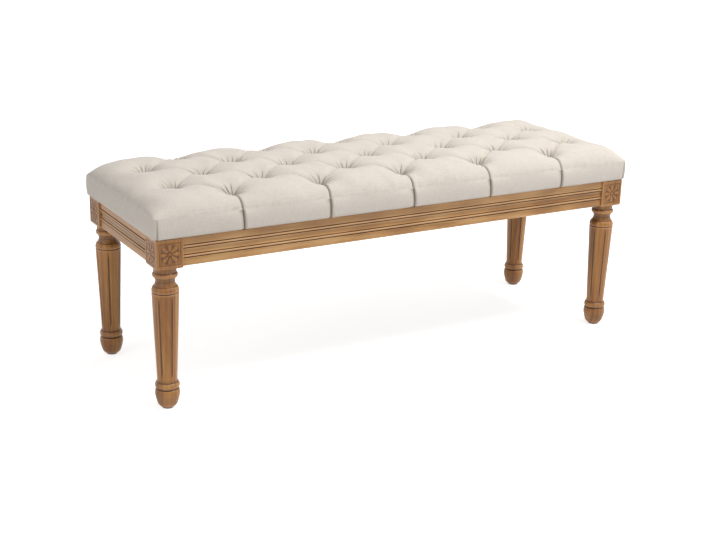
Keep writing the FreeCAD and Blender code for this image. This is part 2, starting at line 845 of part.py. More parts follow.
def cushion_cap(x):
    """The small outline that ends the bulge of the short side."""
    bulge = S.side_bulge.value
    half = S.seat_width.value / 2 - S.corner_radius.value - bulge
    foot = HEM_BOTTOM.value + bulge * 2
    shoulder = HEM_BOTTOM.value + S.side_height.value - bulge * 2
    flat = S.crease_width.value / 10
    step = half / 3
    crests = [(step * index, shoulder, flat) for index in range(-3, 4) if index != 0]
    crests[0] = (-half, shoulder, flat)
    return cushion_wire(x, half - flat, foot, flat, crests)


def cushion_form():
    """The tufted cushion, ruled from section to section along the bench."""
    last = S.tuft_columns.value * TUFT_PITCH_X.value / 2
    end = S.seat_length.value / 2
    steps = int(S.tuft_columns.value) * 4
    inside = [last * (2 * index / steps - 1) for index in range(steps + 1)]
    beyond = [last + (end - last) * part for part in (0.4, 0.75, 1.0)]
    places = [-x for x in reversed(beyond)] + inside + beyond
    cap = end + S.side_bulge.value * 0.8
    wires = [cushion_cap(-cap)] + [cushion_section(x) for x in places] + [cushion_cap(cap)]
    return Part.makeLoft(wires, True, True)


def make_cover():
    """The tufted cover with its wadding, wrapped under the board and open below."""
    gap = S.layer_clearance
    half_x = S.seat_length / 2
    half_y = S.seat_width / 2
    foam_room = slab(
        half_x - S.foam_inset + gap,
        half_y - S.foam_inset + gap,
        BOARD_TOP,
        FOAM_TOP + gap,
    )
    board_room = slab(
        half_x - S.board_inset + gap,
        half_y - S.board_inset + gap,
        BOARD_BOTTOM - gap,
        BOARD_TOP + gap,
    )
    opening = slab(half_x - S.hem_width, half_y - S.hem_width, S.frame_top, BOARD_TOP)
    cover = cushion_form().cut(foam_room.fuse(board_room).fuse(opening))
    return computed("seat_cover", cover.Solids[0])


def make_layer(name, inset, bottom, thickness):
    """A flat layer of the seat, set in from the edge of the cushion."""
    layer = doc.addObject("Part::Box", name)
    bind(layer, "Length", S.seat_length - inset * 2)
    bind(layer, "Width", S.seat_width - inset * 2)
    bind(layer, "Height", thickness)
    place(layer, inset - S.seat_length / 2, inset - S.seat_width / 2, bottom)
    return layer


def make_slotted_layer(name, inset, bottom, thickness):
    """A layer of the seat with a slot for the tie of every tuft."""
    blank = make_layer(f"{name}_blank", inset, bottom, thickness)
    slots = computed(f"{name}_slots", tie_slots(bottom - thickness, bottom + thickness * 2))
    layer = doc.addObject("Part::Cut", name)
    layer.Label = name
    layer.Base = blank
    layer.Tool = slots
    return layer


def make_ties():
    """Tapes from the tufts down through the foam and the board."""
    top = FOAM_TOP + S.layer_clearance
    return computed("tuft_ties", at_tufts(S.tie_width, S.tie_thickness, BOARD_BOTTOM, top))


def make_toggles():
    """Small bars under the board that hold the ties."""
    bottom = BOARD_BOTTOM - S.toggle_thickness
    return computed(
        "tie_toggles",
        at_tufts(S.toggle_length, S.toggle_width, bottom, BOARD_BOTTOM),
    )


nodes = [make_leg(*corner) for corner in CORNERS]
nodes += [
    make_rail("front", LONG_RAIL, 0.0, -RAIL_INNER_Y, 0),
    make_rail("right", SHORT_RAIL, RAIL_INNER_X, 0.0, 90),
    make_rail("back", LONG_RAIL, 0.0, RAIL_INNER_Y, 180),
    make_rail("left", SHORT_RAIL, -RAIL_INNER_X, 0.0, 270),
    make_cross_rail(),
]
nodes += [make_bracket(*corner) for corner in CORNERS]
nodes += [make_bolts(), make_nuts(), make_glides(), make_angles()]
nodes += [
    make_layer("dust_cover", S.dust_cover_inset, S.frame_top, S.dust_cover_thickness),
    make_slotted_layer("seat_board", S.board_inset, BOARD_BOTTOM, S.board_thickness),
    make_slotted_layer("seat_foam", S.foam_inset, FOAM_BOTTOM, S.foam_thickness),
    make_cover(),
    make_ties(),
    make_toggles(),
]
doc.recompute()

for item in doc.Objects:
    if "Invalid" in item.State or "Error" in item.State:
        raise RuntimeError(f"{item.Label} did not build: {item.State}")

os.makedirs("parts", exist_ok=True)
for node in nodes:
    shape = node.Shape
    if shape.isNull() or not shape.isValid() or not shape.Solids:
        raise RuntimeError(f"{node.Label} has no valid solid")
    shape.exportStep(f"parts/{node.Label}.step")
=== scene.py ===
"""A tufted bench, dressed for its photograph.

A diamond-tufted linen seat lies on four beaded rails, which run into turned
and fluted legs with a rosette carved on each outer face of the block. Sizes
are millimetres until a mesh is written, and +X runs along the bench.
"""

import json
import logging
import math
from dataclasses import dataclass
from enum import Enum

import bpy
import numpy as np
from mathutils import Matrix, Vector

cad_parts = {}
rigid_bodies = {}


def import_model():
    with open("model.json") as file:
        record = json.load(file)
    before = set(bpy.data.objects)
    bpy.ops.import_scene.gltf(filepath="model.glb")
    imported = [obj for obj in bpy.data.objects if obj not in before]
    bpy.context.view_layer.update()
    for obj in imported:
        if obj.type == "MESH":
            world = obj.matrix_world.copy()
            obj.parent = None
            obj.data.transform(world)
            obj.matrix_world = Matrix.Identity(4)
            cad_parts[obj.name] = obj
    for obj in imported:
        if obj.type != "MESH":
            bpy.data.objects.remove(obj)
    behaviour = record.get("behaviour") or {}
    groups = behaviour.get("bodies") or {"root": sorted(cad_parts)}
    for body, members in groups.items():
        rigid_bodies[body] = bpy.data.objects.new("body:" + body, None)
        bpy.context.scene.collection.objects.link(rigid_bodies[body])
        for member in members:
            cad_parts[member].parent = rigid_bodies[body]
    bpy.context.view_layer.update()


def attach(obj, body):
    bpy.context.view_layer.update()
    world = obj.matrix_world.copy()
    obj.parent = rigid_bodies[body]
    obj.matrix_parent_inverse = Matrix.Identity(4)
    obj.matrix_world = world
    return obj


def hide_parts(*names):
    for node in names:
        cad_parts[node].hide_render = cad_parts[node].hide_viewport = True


log = logging.getLogger("bench")

MM = 0.001
PHOTO_WIDTH = 716
SENSOR_WIDTH = 36.0
# The mesh attribute that says how much glaze lies at a point on the wood, with painted light and
# painted shade on the rails, and how much painted shade lies in the cloth's folds.
MARK = "glaze"

Colour = tuple[float, float, float, float]
Pair = tuple[float, float]
Triple = tuple[float, float, float]
Socket = bpy.types.NodeSocket
Piece = bpy.types.Object


# Colours and nodes


def linear(hex_colour: str) -> Colour:
    """Turn an sRGB hex colour into the linear colour that a shader takes.

    Args:
        hex_colour: A hash and six hex digits.

    Returns:
        Red, green, blue and an alpha of one.
    """
    parts = (int(hex_colour[at : at + 2], 16) / 255 for at in (1, 3, 5))
    red, green, blue = (
        part / 12.92 if part <= 0.04045 else ((part + 0.055) / 1.055) ** 2.4
        for part in parts
    )
    return red, green, blue, 1.0


def labelled(inputs: dict[str, object]) -> dict[str, object]:
    """Turn keywords such as detail_scale into the names of a node's inputs.

    Args:
        inputs: A value or a result for each keyword.

    Returns:
        The same, by the inputs' names.
    """
    return {
        name.replace("_", " ").title().replace("Ior", "IOR"): value
        for name, value in inputs.items()
    }


class Nodes:
    """The node tree of a material or a world, filled by short calls.

    Each call adds one node and returns its result. A value may be a number, a
    colour or another call's result, and keywords name the node's other inputs.
    """

    def __init__(self, tree: bpy.types.NodeTree) -> None:
        """Take the tree that is to be filled."""
        self.tree = tree

    def fill(self, node: bpy.types.Node, inputs: dict) -> None:
        """Set or link a node's inputs.

        Args:
            node: The node.
            inputs: A value or a result for each input, by name or number.
        """
        for name, value in inputs.items():
            if isinstance(value, Socket):
                self.tree.links.new(value, node.inputs[name])
            else:
                node.inputs[name].default_value = value

    def add(self, kind: str, inputs: dict | None = None, **settings: object) -> bpy.types.Node:
        """Add a node.

        Args:
            kind: The node's type name, without the shader prefix.
            inputs: A value or a result for each input, by name or number.
            settings: Attributes of the node itself.

        Returns:
            The new node.
        """
        made = self.tree.nodes.new("ShaderNode" + kind)
        for name, value in settings.items():
            setattr(made, name, value)
        self.fill(made, inputs or {})
        return made

    def math(self, operation: str, *values: object, clamp: bool = False) -> Socket:
        """Work with up to three numbers."""
        settings = {"operation": operation, "use_clamp": clamp}
        return self.add("Math", dict(enumerate(values)), **settings).outputs[0]

    def vector(self, operation: str, *values: object) -> list[Socket]:
        """Work with vectors: the results are a vector and a number."""
        made = self.add("VectorMath", dict(enumerate(values)), operation=operation)
        return list(made.outputs)

    def parts(self, vector: Socket) -> list[Socket]:
        """The X, Y and Z of a vector."""
        return list(self.add("SeparateXYZ", {0: vector}).outputs)

    def stretch(self, place: Socket, scale: Triple) -> Socket:
        """Scale a place before a pattern reads it."""
        return self.add("Mapping", {"Vector": place, "Scale": scale}).outputs[0]

    def noise(self, place: Socket, scale: float, **inputs: object) -> Socket:
        """Soft noise, at so many grains a metre."""
        inputs = {"Vector": place, "Scale": scale} | labelled(inputs)
        return self.add("TexNoise", inputs).outputs["Fac"]

    def bands(self, place: Socket, period: float, way: str = "X", **inputs: object) -> Socket:
        """Wavy bands so many millimetres apart."""
        # A wave has a period of 0.314 units at scale 1.
        inputs = {"Vector": place, "Scale": 314 / period} | labelled(inputs)
        return self.add("TexWave", inputs, bands_direction=way).outputs["Fac"]

    def cells(self, place: Socket, size: float, **inputs: object) -> Socket:
        """Cells so many millimetres wide, as the distance from their middles."""
        inputs = {"Vector": place, "Scale": 1000 / size} | labelled(inputs)
        return self.add("TexVoronoi", inputs).outputs["Distance"]

    def ramp(self, value: Socket, *stops: tuple[float, Colour]) -> Socket:
        """A colour ramp through places and colours.

        Args:
            value: The result that is looked up.
            stops: A place from 0 to 1 and a colour for each stop.

        Returns:
            The colour that is found.
        """
        made = self.add("ValToRGB", {"Fac": value})
        elements = made.color_ramp.elements
        elements.remove(elements[1])
        elements[0].position, elements[0].color = stops[0]
        for place, colour in stops[1:]:
            elements.new(place).color = colour
        return made.outputs["Color"]

    def span(self, value: Socket, smooth: bool = False, **inputs: object) -> Socket:
        """Carry a value from one range to another, 0 to 1 where none is given."""
        inputs = {"Value": value} | labelled(inputs)
        kind = "SMOOTHSTEP" if smooth else "LINEAR"
        return self.add("MapRange", inputs, interpolation_type=kind).outputs[0]

    def mix(self, share: Socket, first: Socket, second: Colour) -> Socket:
        """Blend one colour into another."""
        inputs = {0: share, 6: first, 7: second}
        return self.add("Mix", inputs, data_type="RGBA").outputs[2]

    def bump(
        self, height: Socket, strength: float, depth: float, invert: bool = False, **inputs: object
    ) -> Socket:
        """A bump so many millimetres deep, or a hollow if inverted."""
        inputs = {"Height": height, "Strength": strength, "Distance": depth * MM} | labelled(inputs)
        return self.add("Bump", inputs, invert=invert).outputs[0]

    def mark(self) -> Socket:
        """The mesh's own mark: glaze and wear on the wood, painted light and shade on the rails,
        and painted shade in the cloth's folds.
        """
        settings = {"attribute_type": "GEOMETRY", "attribute_name": MARK}
        return self.add("Attribute", **settings).outputs["Fac"]

    def surface(self, **inputs: object) -> bpy.types.Node:
        """Fill the Principled shader's inputs, and return it."""
        shader = self.tree.nodes["Principled BSDF"]
        self.fill(shader, labelled(inputs))
        return shader


# Finishes


class Grain(Enum):
    """The way the grain of a piece of wood runs, as the scale of a pattern."""

    ALONG_X = (0.07, 1.0, 1.0)
    ALONG_Y = (1.0, 0.07, 1.0)
    ALONG_Z = (1.0, 1.0, 0.07)


@dataclass(frozen=True)
class Finish:
    """What every finish has: a name, and nodes around one Principled shader."""

    name: str

    def material(self) -> bpy.types.Material:
        """Return the finish as a material, made when it is first asked for."""
        made = bpy.data.materials.get(self.name)
        if made is None:
            made = bpy.data.materials.new(self.name)
            made.use_nodes = True
            nodes = Nodes(made.node_tree)
            self.dress(nodes, nodes.add("TexCoord").outputs["Object"])
        return made

    def dress(self, nodes: Nodes, place: Socket) -> None:
        """Fill the tree. Each finish has its own.

        Args:
            nodes: The material's nodes.
            place: The piece's own places, in metres.
        """
        raise NotImplementedError


@dataclass(frozen=True)
class GlazedHardwood(Finish):
    """Rubberwood, turned or moulded, stained honey brown and rubbed with a dark glaze.

    The glaze stays in the cuts and is rubbed off the raised edges, which leaves
    dark lines beside pale ones under a satin lacquer. On the rails the pale colour
    is also painted highlight on the beads and painted light on the upper flat, and
    the dark one painted shade in the hollow and under the lower bead.
    """

    grain: Grain = Grain.ALONG_Z
    deep: str = "#8B5726"
    middle: str = "#A97032"
    pale: str = "#BE8748"
    glaze: str = "#42250D"
    # The pale colour of worn edges, which on the rails also paints the beads' highlight and painted
    # light on the upper flat.
    rubbed: str = "#DDB285"
    figure_width: float = 22.0
    ring_width: float = 9.0
    pore_width: float = 1.5

    def dress(self, nodes: Nodes, place: Socket) -> None:
        """Fill the tree with figure, rings, pores, glaze and rubbed edges."""
        place = nodes.stretch(place, self.grain.value)
        figure = nodes.noise(
            place, 1000 / self.figure_width, detail=4.0, roughness=0.55, distortion=0.5
        )
        rings = nodes.bands(
            place, self.ring_width, distortion=5.0, detail=3.0, detail_scale=0.6
        )
        # Real pores are 0.1 mm wide. They are drawn coarser so that they show.
        pores = nodes.noise(place, 1000 / self.pore_width, detail=3.0, roughness=0.7)
        blend = nodes.math("MULTIPLY_ADD", rings, 0.12, figure)
        blend = nodes.math("MULTIPLY_ADD", pores, 0.18, blend)
        stained = nodes.ramp(
            blend,
            (0.46, linear(self.deep)),
            (0.65, linear(self.middle)),
            (0.84, linear(self.pale)),
        )
        # The mark is above 0 in a cut and below 0 on an edge. On the rails it is also
        # above 0 for painted shade and below 0 for painted light and painted highlight.
        mark = nodes.mark()
        uneven = nodes.math("MULTIPLY_ADD", pores, 0.7, 0.62)
        cut = nodes.math("MULTIPLY", mark, uneven, clamp=True)
        edge = nodes.math("MULTIPLY", mark, -0.75, clamp=True)
        worn_and_highlit = nodes.mix(edge, stained, linear(self.rubbed))
        nodes.surface(
            base_color=nodes.mix(cut, worn_and_highlit, linear(self.glaze)),
            roughness=nodes.span(pores, to_min=0.36, to_max=0.52),
            normal=nodes.bump(pores, 0.25, 0.4),
            ior=1.5,
            coat_weight=0.12,
            coat_roughness=0.3,
        )


@dataclass(frozen=True)
class SawnWood(Finish):
    """Pine or poplar, planed and left bare, with fuzzy pale grain and no gloss."""

    grain: Grain = Grain.ALONG_Y
    dark: str = "#B98F5F"
    light: str = "#D9B78A"
    ring_width: float = 7.0

    def dress(self, nodes: Nodes, place: Socket) -> None:
        """Fill the tree with growth rings and torn fibres."""
        place = nodes.stretch(place, self.grain.value)
        rings = nodes.bands(
            place, self.ring_width, distortion=6.0, detail=3.0, detail_scale=0.8
        )
        fibres = nodes.noise(place, 700.0, detail=3.0)
        blend = nodes.math("MULTIPLY_ADD", fibres, 0.5, rings)
        nodes.surface(
            base_color=nodes.ramp(blend, (0.2, linear(self.light)), (0.8, linear(self.dark))),
            normal=nodes.bump(fibres, 0.4, 0.5),
            roughness=0.75,
        )


@dataclass(frozen=True)
class WashedLinen(Finish):
    """Linen and cotton plain weave, piece dyed oatmeal and washed soft.

    Threads of uneven thickness, the slubs, give short lighter and darker
    dashes both ways, and the fibre ends a faint bloom at grazing angles.
    """

    shade: str = "#DBD0C3"
    ground: str = "#E5DCD1"
    bright: str = "#ECE4DA"
    # The colour that the painted shade in the folds is mixed towards.
    fold: str = "#978A7A"
    thread_spacing: float = 1.6
    slub_length: float = 16.0
    slub_width: float = 1.3
    tuft_spacing: Pair = (204.0, 150.0)
    tuft_limits: Pair = (0.56, 0.16)
    fold_turns: float = 6.5

    def fold_lines(self, nodes: Nodes, cloth: Socket) -> Socket:
        """Thin creases in the cloth that radiate from each tuft.

        The tufts lie on a diamond lattice. A place's lattice numbers, rounded,
        give its tuft. A high power of one less the size of a sine of the angle
        about that tuft is a ring of thin lines, kept to 3 to 40 mm out.

        Args:
            nodes: The node tree.
            cloth: The cloth's own flat map, in metres.

        Returns:
            A result that is 1 in a crease and 0 beside it.
        """
        wide, deep = (1000 / size for size in self.tuft_spacing)
        one, two = (
            nodes.math("ROUND", nodes.vector("DOT_PRODUCT", cloth, (wide, slope, 0.0))[1])
            for slope in (deep, -deep)
        )
        steps = {0: nodes.math("ADD", one, two), 1: nodes.math("SUBTRACT", one, two)}
        lattice = nodes.add("CombineXYZ", steps).outputs[0]
        tuft = nodes.vector("MULTIPLY", lattice, (0.5 / wide, 0.5 / deep, 0.0))[0]
        off = nodes.vector("SUBTRACT", cloth, tuft)[0]
        reach = nodes.vector("LENGTH", off)[1]
        across, along, _ = nodes.parts(off)
        angle = nodes.math("ARCTAN2", along, across)
        phase = nodes.math("MULTIPLY", nodes.noise(cloth, 16.0, detail=1.0), 9.0)
        turned = nodes.math("MULTIPLY_ADD", angle, self.fold_turns, phase)
        size = nodes.math("ABSOLUTE", nodes.math("SINE", turned))
        line = nodes.math("POWER", nodes.math("SUBTRACT", 1.0, size), 5.0)
        begin = nodes.span(reach, True, from_min=0.003, from_max=0.010)
        fade = nodes.span(reach, True, from_min=0.016, from_max=0.040, to_min=1.0, to_max=0.0)
        shown = nodes.math("MULTIPLY", begin, fade)
        # The lattice goes on past the rows of tufts, so it is cut off there.
        distance = nodes.vector("ABSOLUTE", tuft)[0]
        for side, limit in zip(nodes.parts(distance), self.tuft_limits):
            inside = nodes.math("LESS_THAN", side, limit)
            shown = nodes.math("MULTIPLY", shown, inside)
        return nodes.math("MULTIPLY", line, shown)

    def dress(self, nodes: Nodes, place: Socket) -> None:
        """Fill the tree with weave and slubs that follow the cloth's own map."""
        cloth = nodes.add("UVMap", uv_map="cloth").outputs[0]
        # The real threads are 0.6 mm apart. They are drawn coarser to show.
        threads = [
            nodes.bands(cloth, self.thread_spacing, way, distortion=1.2, detail_scale=0.4)
            for way in "XY"
        ]
        thin = self.slub_width / self.slub_length
        slubs = [
            nodes.noise(
                nodes.stretch(cloth, scale), 1000 / self.slub_width, detail=2.0, roughness=0.6
            )
            for scale in ((thin, 1.0, 1.0), (1.0, thin, 1.0))
        ]
        weave = nodes.math("MULTIPLY", *threads)
        slub = nodes.math("ADD", *slubs)
        soft = nodes.noise(cloth, 9.0, detail=3.0)
        level = nodes.math("MULTIPLY_ADD", weave, 0.12, slub)
        level = nodes.math("MULTIPLY_ADD", soft, 0.25, level)
        colour = nodes.ramp(
            nodes.span(level, from_min=0.8, from_max=1.55),
            (0.0, linear(self.shade)),
            (0.45, linear(self.ground)),
            (1.0, linear(self.bright)),
        )
        creases = self.fold_lines(nodes, cloth)
        # Painted shade: the creases round the tufts and the folds marked on the mesh are mixed
        # towards the fold colour.
        painted_shade = nodes.math("MULTIPLY_ADD", creases, 0.62, nodes.mark(), clamp=True)
        folds = nodes.bump(creases, 0.9, 2.2, invert=True)
        height = nodes.math("MULTIPLY_ADD", weave, 0.6, slub)
        nodes.surface(
            base_color=nodes.mix(painted_shade, colour, linear(self.fold)),
            normal=nodes.bump(height, 0.22, 0.6, normal=folds),
            roughness=0.92,
            specular_ior_level=0.25,
            sheen_weight=0.12,
            sheen_roughness=0.6,
        )


@dataclass(frozen=True)
class ZincSteel(Finish):
    """Mild steel, pressed or cut, then bright zinc plated: cool grey, faintly streaked."""

    dull: str = "#A3A7A8"
    bright: str = "#B9BCBB"
    streak_width: float = 1.2

    def dress(self, nodes: Nodes, place: Socket) -> None:
        """Fill the tree with plating clouds and rolling streaks."""
        clouds = nodes.noise(place, 160.0, detail=3.0)
        rolled = nodes.stretch(place, (1.0, 1.0, 0.05))
        streaks = nodes.noise(rolled, 1000 / self.streak_width)
        nodes.surface(
            base_color=nodes.ramp(clouds, (0.3, linear(self.dull)), (0.7, linear(self.bright))),
            roughness=nodes.span(clouds, to_min=0.28, to_max=0.48),
            normal=nodes.bump(streaks, 0.08, 0.2),
            metallic=1.0,
        )


@dataclass(frozen=True)
class Moulded(Finish):
    """Polyethylene or polypropylene, injection moulded, with a fine even texture."""

    colour: str = "#33261D"
    grit: float = 0.8
    rough: float = 0.5

    def dress(self, nodes: Nodes, place: Socket) -> None:
        """Fill the tree with a moulded texture and scuffs."""
        texture = nodes.noise(place, 1000 / self.grit)
        scuffs = nodes.noise(place, 120.0, detail=4.0)
        tint = linear(self.colour)
        lighter = tuple(min(1.0, part * 1.5 + 0.01) for part in tint[:3]) + (1.0,)
        nodes.surface(
            base_color=nodes.ramp(scuffs, (0.4, tint), (0.9, lighter)),
            normal=nodes.bump(texture, 0.2, 0.2),
            roughness=self.rough,
        )


@dataclass(frozen=True)
class DustCloth(Finish):
    """Black spunbond polypropylene: matt fibres, pressed together at small points."""

    colour: str = "#17171A"
    fibre: str = "#3A3A3E"
    point_spacing: float = 2.0

    def dress(self, nodes: Nodes, place: Socket) -> None:
        """Fill the tree with bond points and tangled fibres."""
        points = nodes.cells(place, self.point_spacing, randomness=0.25)
        fibres = nodes.noise(place, 420.0, detail=5.0, distortion=1.5)
        nodes.surface(
            base_color=nodes.ramp(fibres, (0.35, linear(self.colour)), (0.75, linear(self.fibre))),
            normal=nodes.bump(points, 0.35, 0.3),
            roughness=0.9,
        )


@dataclass(frozen=True)
class SeatFoam(Finish):
    """Polyurethane foam, block foamed and hot-wire cut, with open cells."""

    colour: str = "#E6D9A8"
    cell: str = "#C9B983"
    cell_size: float = 1.6

    def dress(self, nodes: Nodes, place: Socket) -> None:
        """Fill the tree with open cells."""
        cells = nodes.cells(place, self.cell_size)
        nodes.surface(
            base_color=nodes.ramp(cells, (0.15, linear(self.cell)), (0.6, linear(self.colour))),
            normal=nodes.bump(cells, 0.5, 0.6),
            roughness=0.95,
        )


@dataclass(frozen=True)
class TieTape(Finish):
    """Undyed cotton tape, woven flat, with a diagonal rib."""

    shade: str = "#B9AE99"
    colour: str = "#D8CFBD"
    rib: float = 1.2

    def dress(self, nodes: Nodes, place: Socket) -> None:
        """Fill the tree with a diagonal rib."""
        ribs = nodes.bands(place, self.rib, "DIAGONAL", distortion=0.6)
        nodes.surface(
            base_color=nodes.ramp(ribs, (0.0, linear(self.shade)), (0.8, linear(self.colour))),
            normal=nodes.bump(ribs, 0.4, 0.4),
            roughness=0.9,
        )


# Meshes


class End(Enum):
    """How the end of a skin is closed."""

    FLAT = "one flat face"
    FAN = "triangles to the middle"


@dataclass
class Skin:
    """A closed skin: rings of points, each ring joined to the next.

    Args:
        rings: Rows of points, ring by ring, each ring closed round.
        first: How the first ring is closed.
        last: How the last ring is closed.
        glaze: The glaze mark at each point, which on the rails also carries painted light and
            painted shade, or None for bare.
    """

    rings: np.ndarray
    first: End = End.FAN
    last: End = End.FAN
    glaze: np.ndarray | None = None

    def faces(self) -> tuple[np.ndarray, np.ndarray, list[list[int]], np.ndarray]:
        """Lay out the skin's points and faces, with the faces pointing outwards.

        Returns:
            The points, the four-sided faces, the other faces and the marks.
        """
        rows, columns = self.rings.shape[:2]
        points = self.rings.reshape(-1, 3)
        marks = np.zeros(len(points)) if self.glaze is None else self.glaze.reshape(-1)
        index = np.arange(rows * columns).reshape(rows, columns)
        after = np.roll(index, -1, axis=1)
        quads = np.stack([index[:-1], after[:-1], after[1:], index[1:]], axis=-1).reshape(-1, 4)
        others: list[list[int]] = []
        for around, end in ((index[0, ::-1], self.first), (index[-1], self.last)):
            if end is End.FLAT:
                others.append(around.tolist())
            else:
                middle = np.full(columns, len(points))
                points = np.vstack([points, points[around].mean(axis=0)])
                marks = np.append(marks, marks[around].mean())
                fan = np.stack([around, np.roll(around, -1), middle], axis=1)
                others.extend(fan.tolist())
        a, b, c, d = (points[quads[:, at]] for at in range(4))
        volume = np.einsum("ij,ij->", a, np.cross(b, c) + np.cross(c, d))
        if volume < 0:
            quads = quads[:, ::-1]
            others = [face[::-1] for face in others]
        return points, quads, others, marks


def tiles(index: np.ndarray) -> np.ndarray:
    """The four-sided faces between the points of a grid."""
    corners = [index[:-1, :-1], index[1:, :-1], index[1:, 1:], index[:-1, 1:]]
    return np.stack(corners, axis=-1).reshape(-1, 4)


def write_mesh(
    name: str,
    points: np.ndarray,
    quads: np.ndarray,
    others: list[list[int]],
    marks: np.ndarray | None = None,
    chart: np.ndarray | None = None,
    crisp: float = 40.0,
) -> Piece:
    """Write points in millimetres and faces into a new object at the origin.

    Args:
        name: The object's name.
        points: One row of three for each point.
        quads: One row of four point numbers for each face.
        others: Faces with any other number of points.
        marks: The mark at each point: glaze and wear on wood, painted light and shade on the rails,
            or painted shade in the cloth's folds.
        chart: The cloth's own flat map, a place in metres for each point.
        crisp: The angle in degrees past which an edge shades sharp.

    Returns:
        The object, linked to the scene.
    """
    mesh = bpy.data.meshes.new(name)
    mesh.from_pydata((points * MM).tolist(), [], quads.tolist() + others)
    mesh.polygons.foreach_set("use_smooth", np.ones(len(mesh.polygons), bool))
    mesh.set_sharp_from_angle(angle=math.radians(crisp))
    if marks is not None:
        layer = mesh.attributes.new(MARK, "FLOAT", "POINT")
        layer.data.foreach_set("value", marks.astype(np.float32))
    if chart is not None:
        corners = np.empty(len(mesh.loops), np.int32)
        mesh.loops.foreach_get("vertex_index", corners)
        cloth = mesh.uv_layers.new(name="cloth")
        cloth.data.foreach_set("uv", chart[corners].astype(np.float32).ravel())
    mesh.validate()
    mesh.update()
    piece = bpy.data.objects.new(name, mesh)
    bpy.context.scene.collection.objects.link(piece)
    return piece


def write_skins(name: str, skins: list[Skin], crisp: float = 40.0) -> Piece:
    """Write several skins into one object, with their glaze marks, which on the rails also carry
    painted light and shade.

    Args:
        name: The object's name.
        skins: The skins.
        crisp: The angle in degrees past which an edge shades sharp.

    Returns:
        The object, linked to the scene.
    """
    points, quads, marks = [], [], []
    others: list[list[int]] = []
    start = 0
    for skin in skins:
        part_points, part_quads, part_others, part_marks = skin.faces()
        points.append(part_points)
        quads.append(part_quads + start)
        others.extend([[at + start for at in face] for face in part_others])
        marks.append(part_marks)
        start += len(part_points)
    joined = (np.vstack(points), np.vstack(quads), others, np.concatenate(marks))
    return write_mesh(name, *joined, crisp=crisp)


def coat(piece: Piece, finish: Finish) -> None:
    """Give a piece its one material, and say so."""
    piece.data.materials.clear()
    piece.data.materials.append(finish.material())
    log.info("%s: %d faces, %s", piece.name, len(piece.data.polygons), finish.name)


def present(piece: Piece, slot: str, finish: Finish, *replaced: str) -> None:
    """Finish a new piece and set it on the bench.

    Args:
        piece: The object.
        slot: The record's material slot. Not used.
        finish: What it is made of.
        replaced: The CAD nodes that it stands for.
    """
    coat(piece, finish)
    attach(piece, "root")
    if replaced:
        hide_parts(*replaced)


def spin(plan: np.ndarray, degrees: float) -> np.ndarray:
    """Turn places on the plan about the origin.

    Args:
        plan: The places, two numbers each.
        degrees: The turn, from +X towards +Y.

    Returns:
        The turned places.
    """
    turn = math.radians(degrees)
    across = [math.cos(turn), -math.sin(turn)]
    along = [math.sin(turn), math.cos(turn)]
    return plan @ np.array([across, along]).T


def spread(
    low: float,
    high: float,
    step: float,
    centres: tuple[float, ...] = (),
    fine: float = 1.0,
    reach: float = 9.0,
) -> np.ndarray:
    """Places from low to high, closer together about some centres.

    The density of places is one over the step, raised to one over the fine
    step by a bell curve about each centre, and the places divide its running
    sum evenly.

    Args:
        low: The first place.
        high: The last place.
        step: The distance between places far from the centres.
        centres: Where places lie closer together.
        fine: The distance between places at a centre.
        reach: How wide the bell curve is.

    Returns:
        The places, in rising order.
    """
    probe = np.linspace(low, high, 6001)
    density = np.full_like(probe, 1 / step)
    for centre in centres:
        density += (1 / fine - 1 / step) * np.exp(-(((probe - centre) / reach) ** 2))
    middle = (density[1:] + density[:-1]) / 2
    total = np.concatenate([[0.0], np.cumsum(middle * np.diff(probe))])
    count = int(round(total[-1]))
    return np.interp(np.linspace(0, total[-1], count + 1), total, probe)


def smoothed(values: np.ndarray, width: float) -> np.ndarray:
    """Average a row of evenly spaced values under a bell curve.

    Args:
        values: The row.
        width: How wide the bell curve is, in samples.

    Returns:
        The averaged row, as long as it was.
    """
    reach = int(math.ceil(width * 3))
    bell = np.exp(-0.5 * (np.arange(-reach, reach + 1) / width) ** 2)
    padded = np.pad(values, reach, mode="edge")
    return np.convolve(padded, bell / bell.sum(), mode="valid")


# Seat


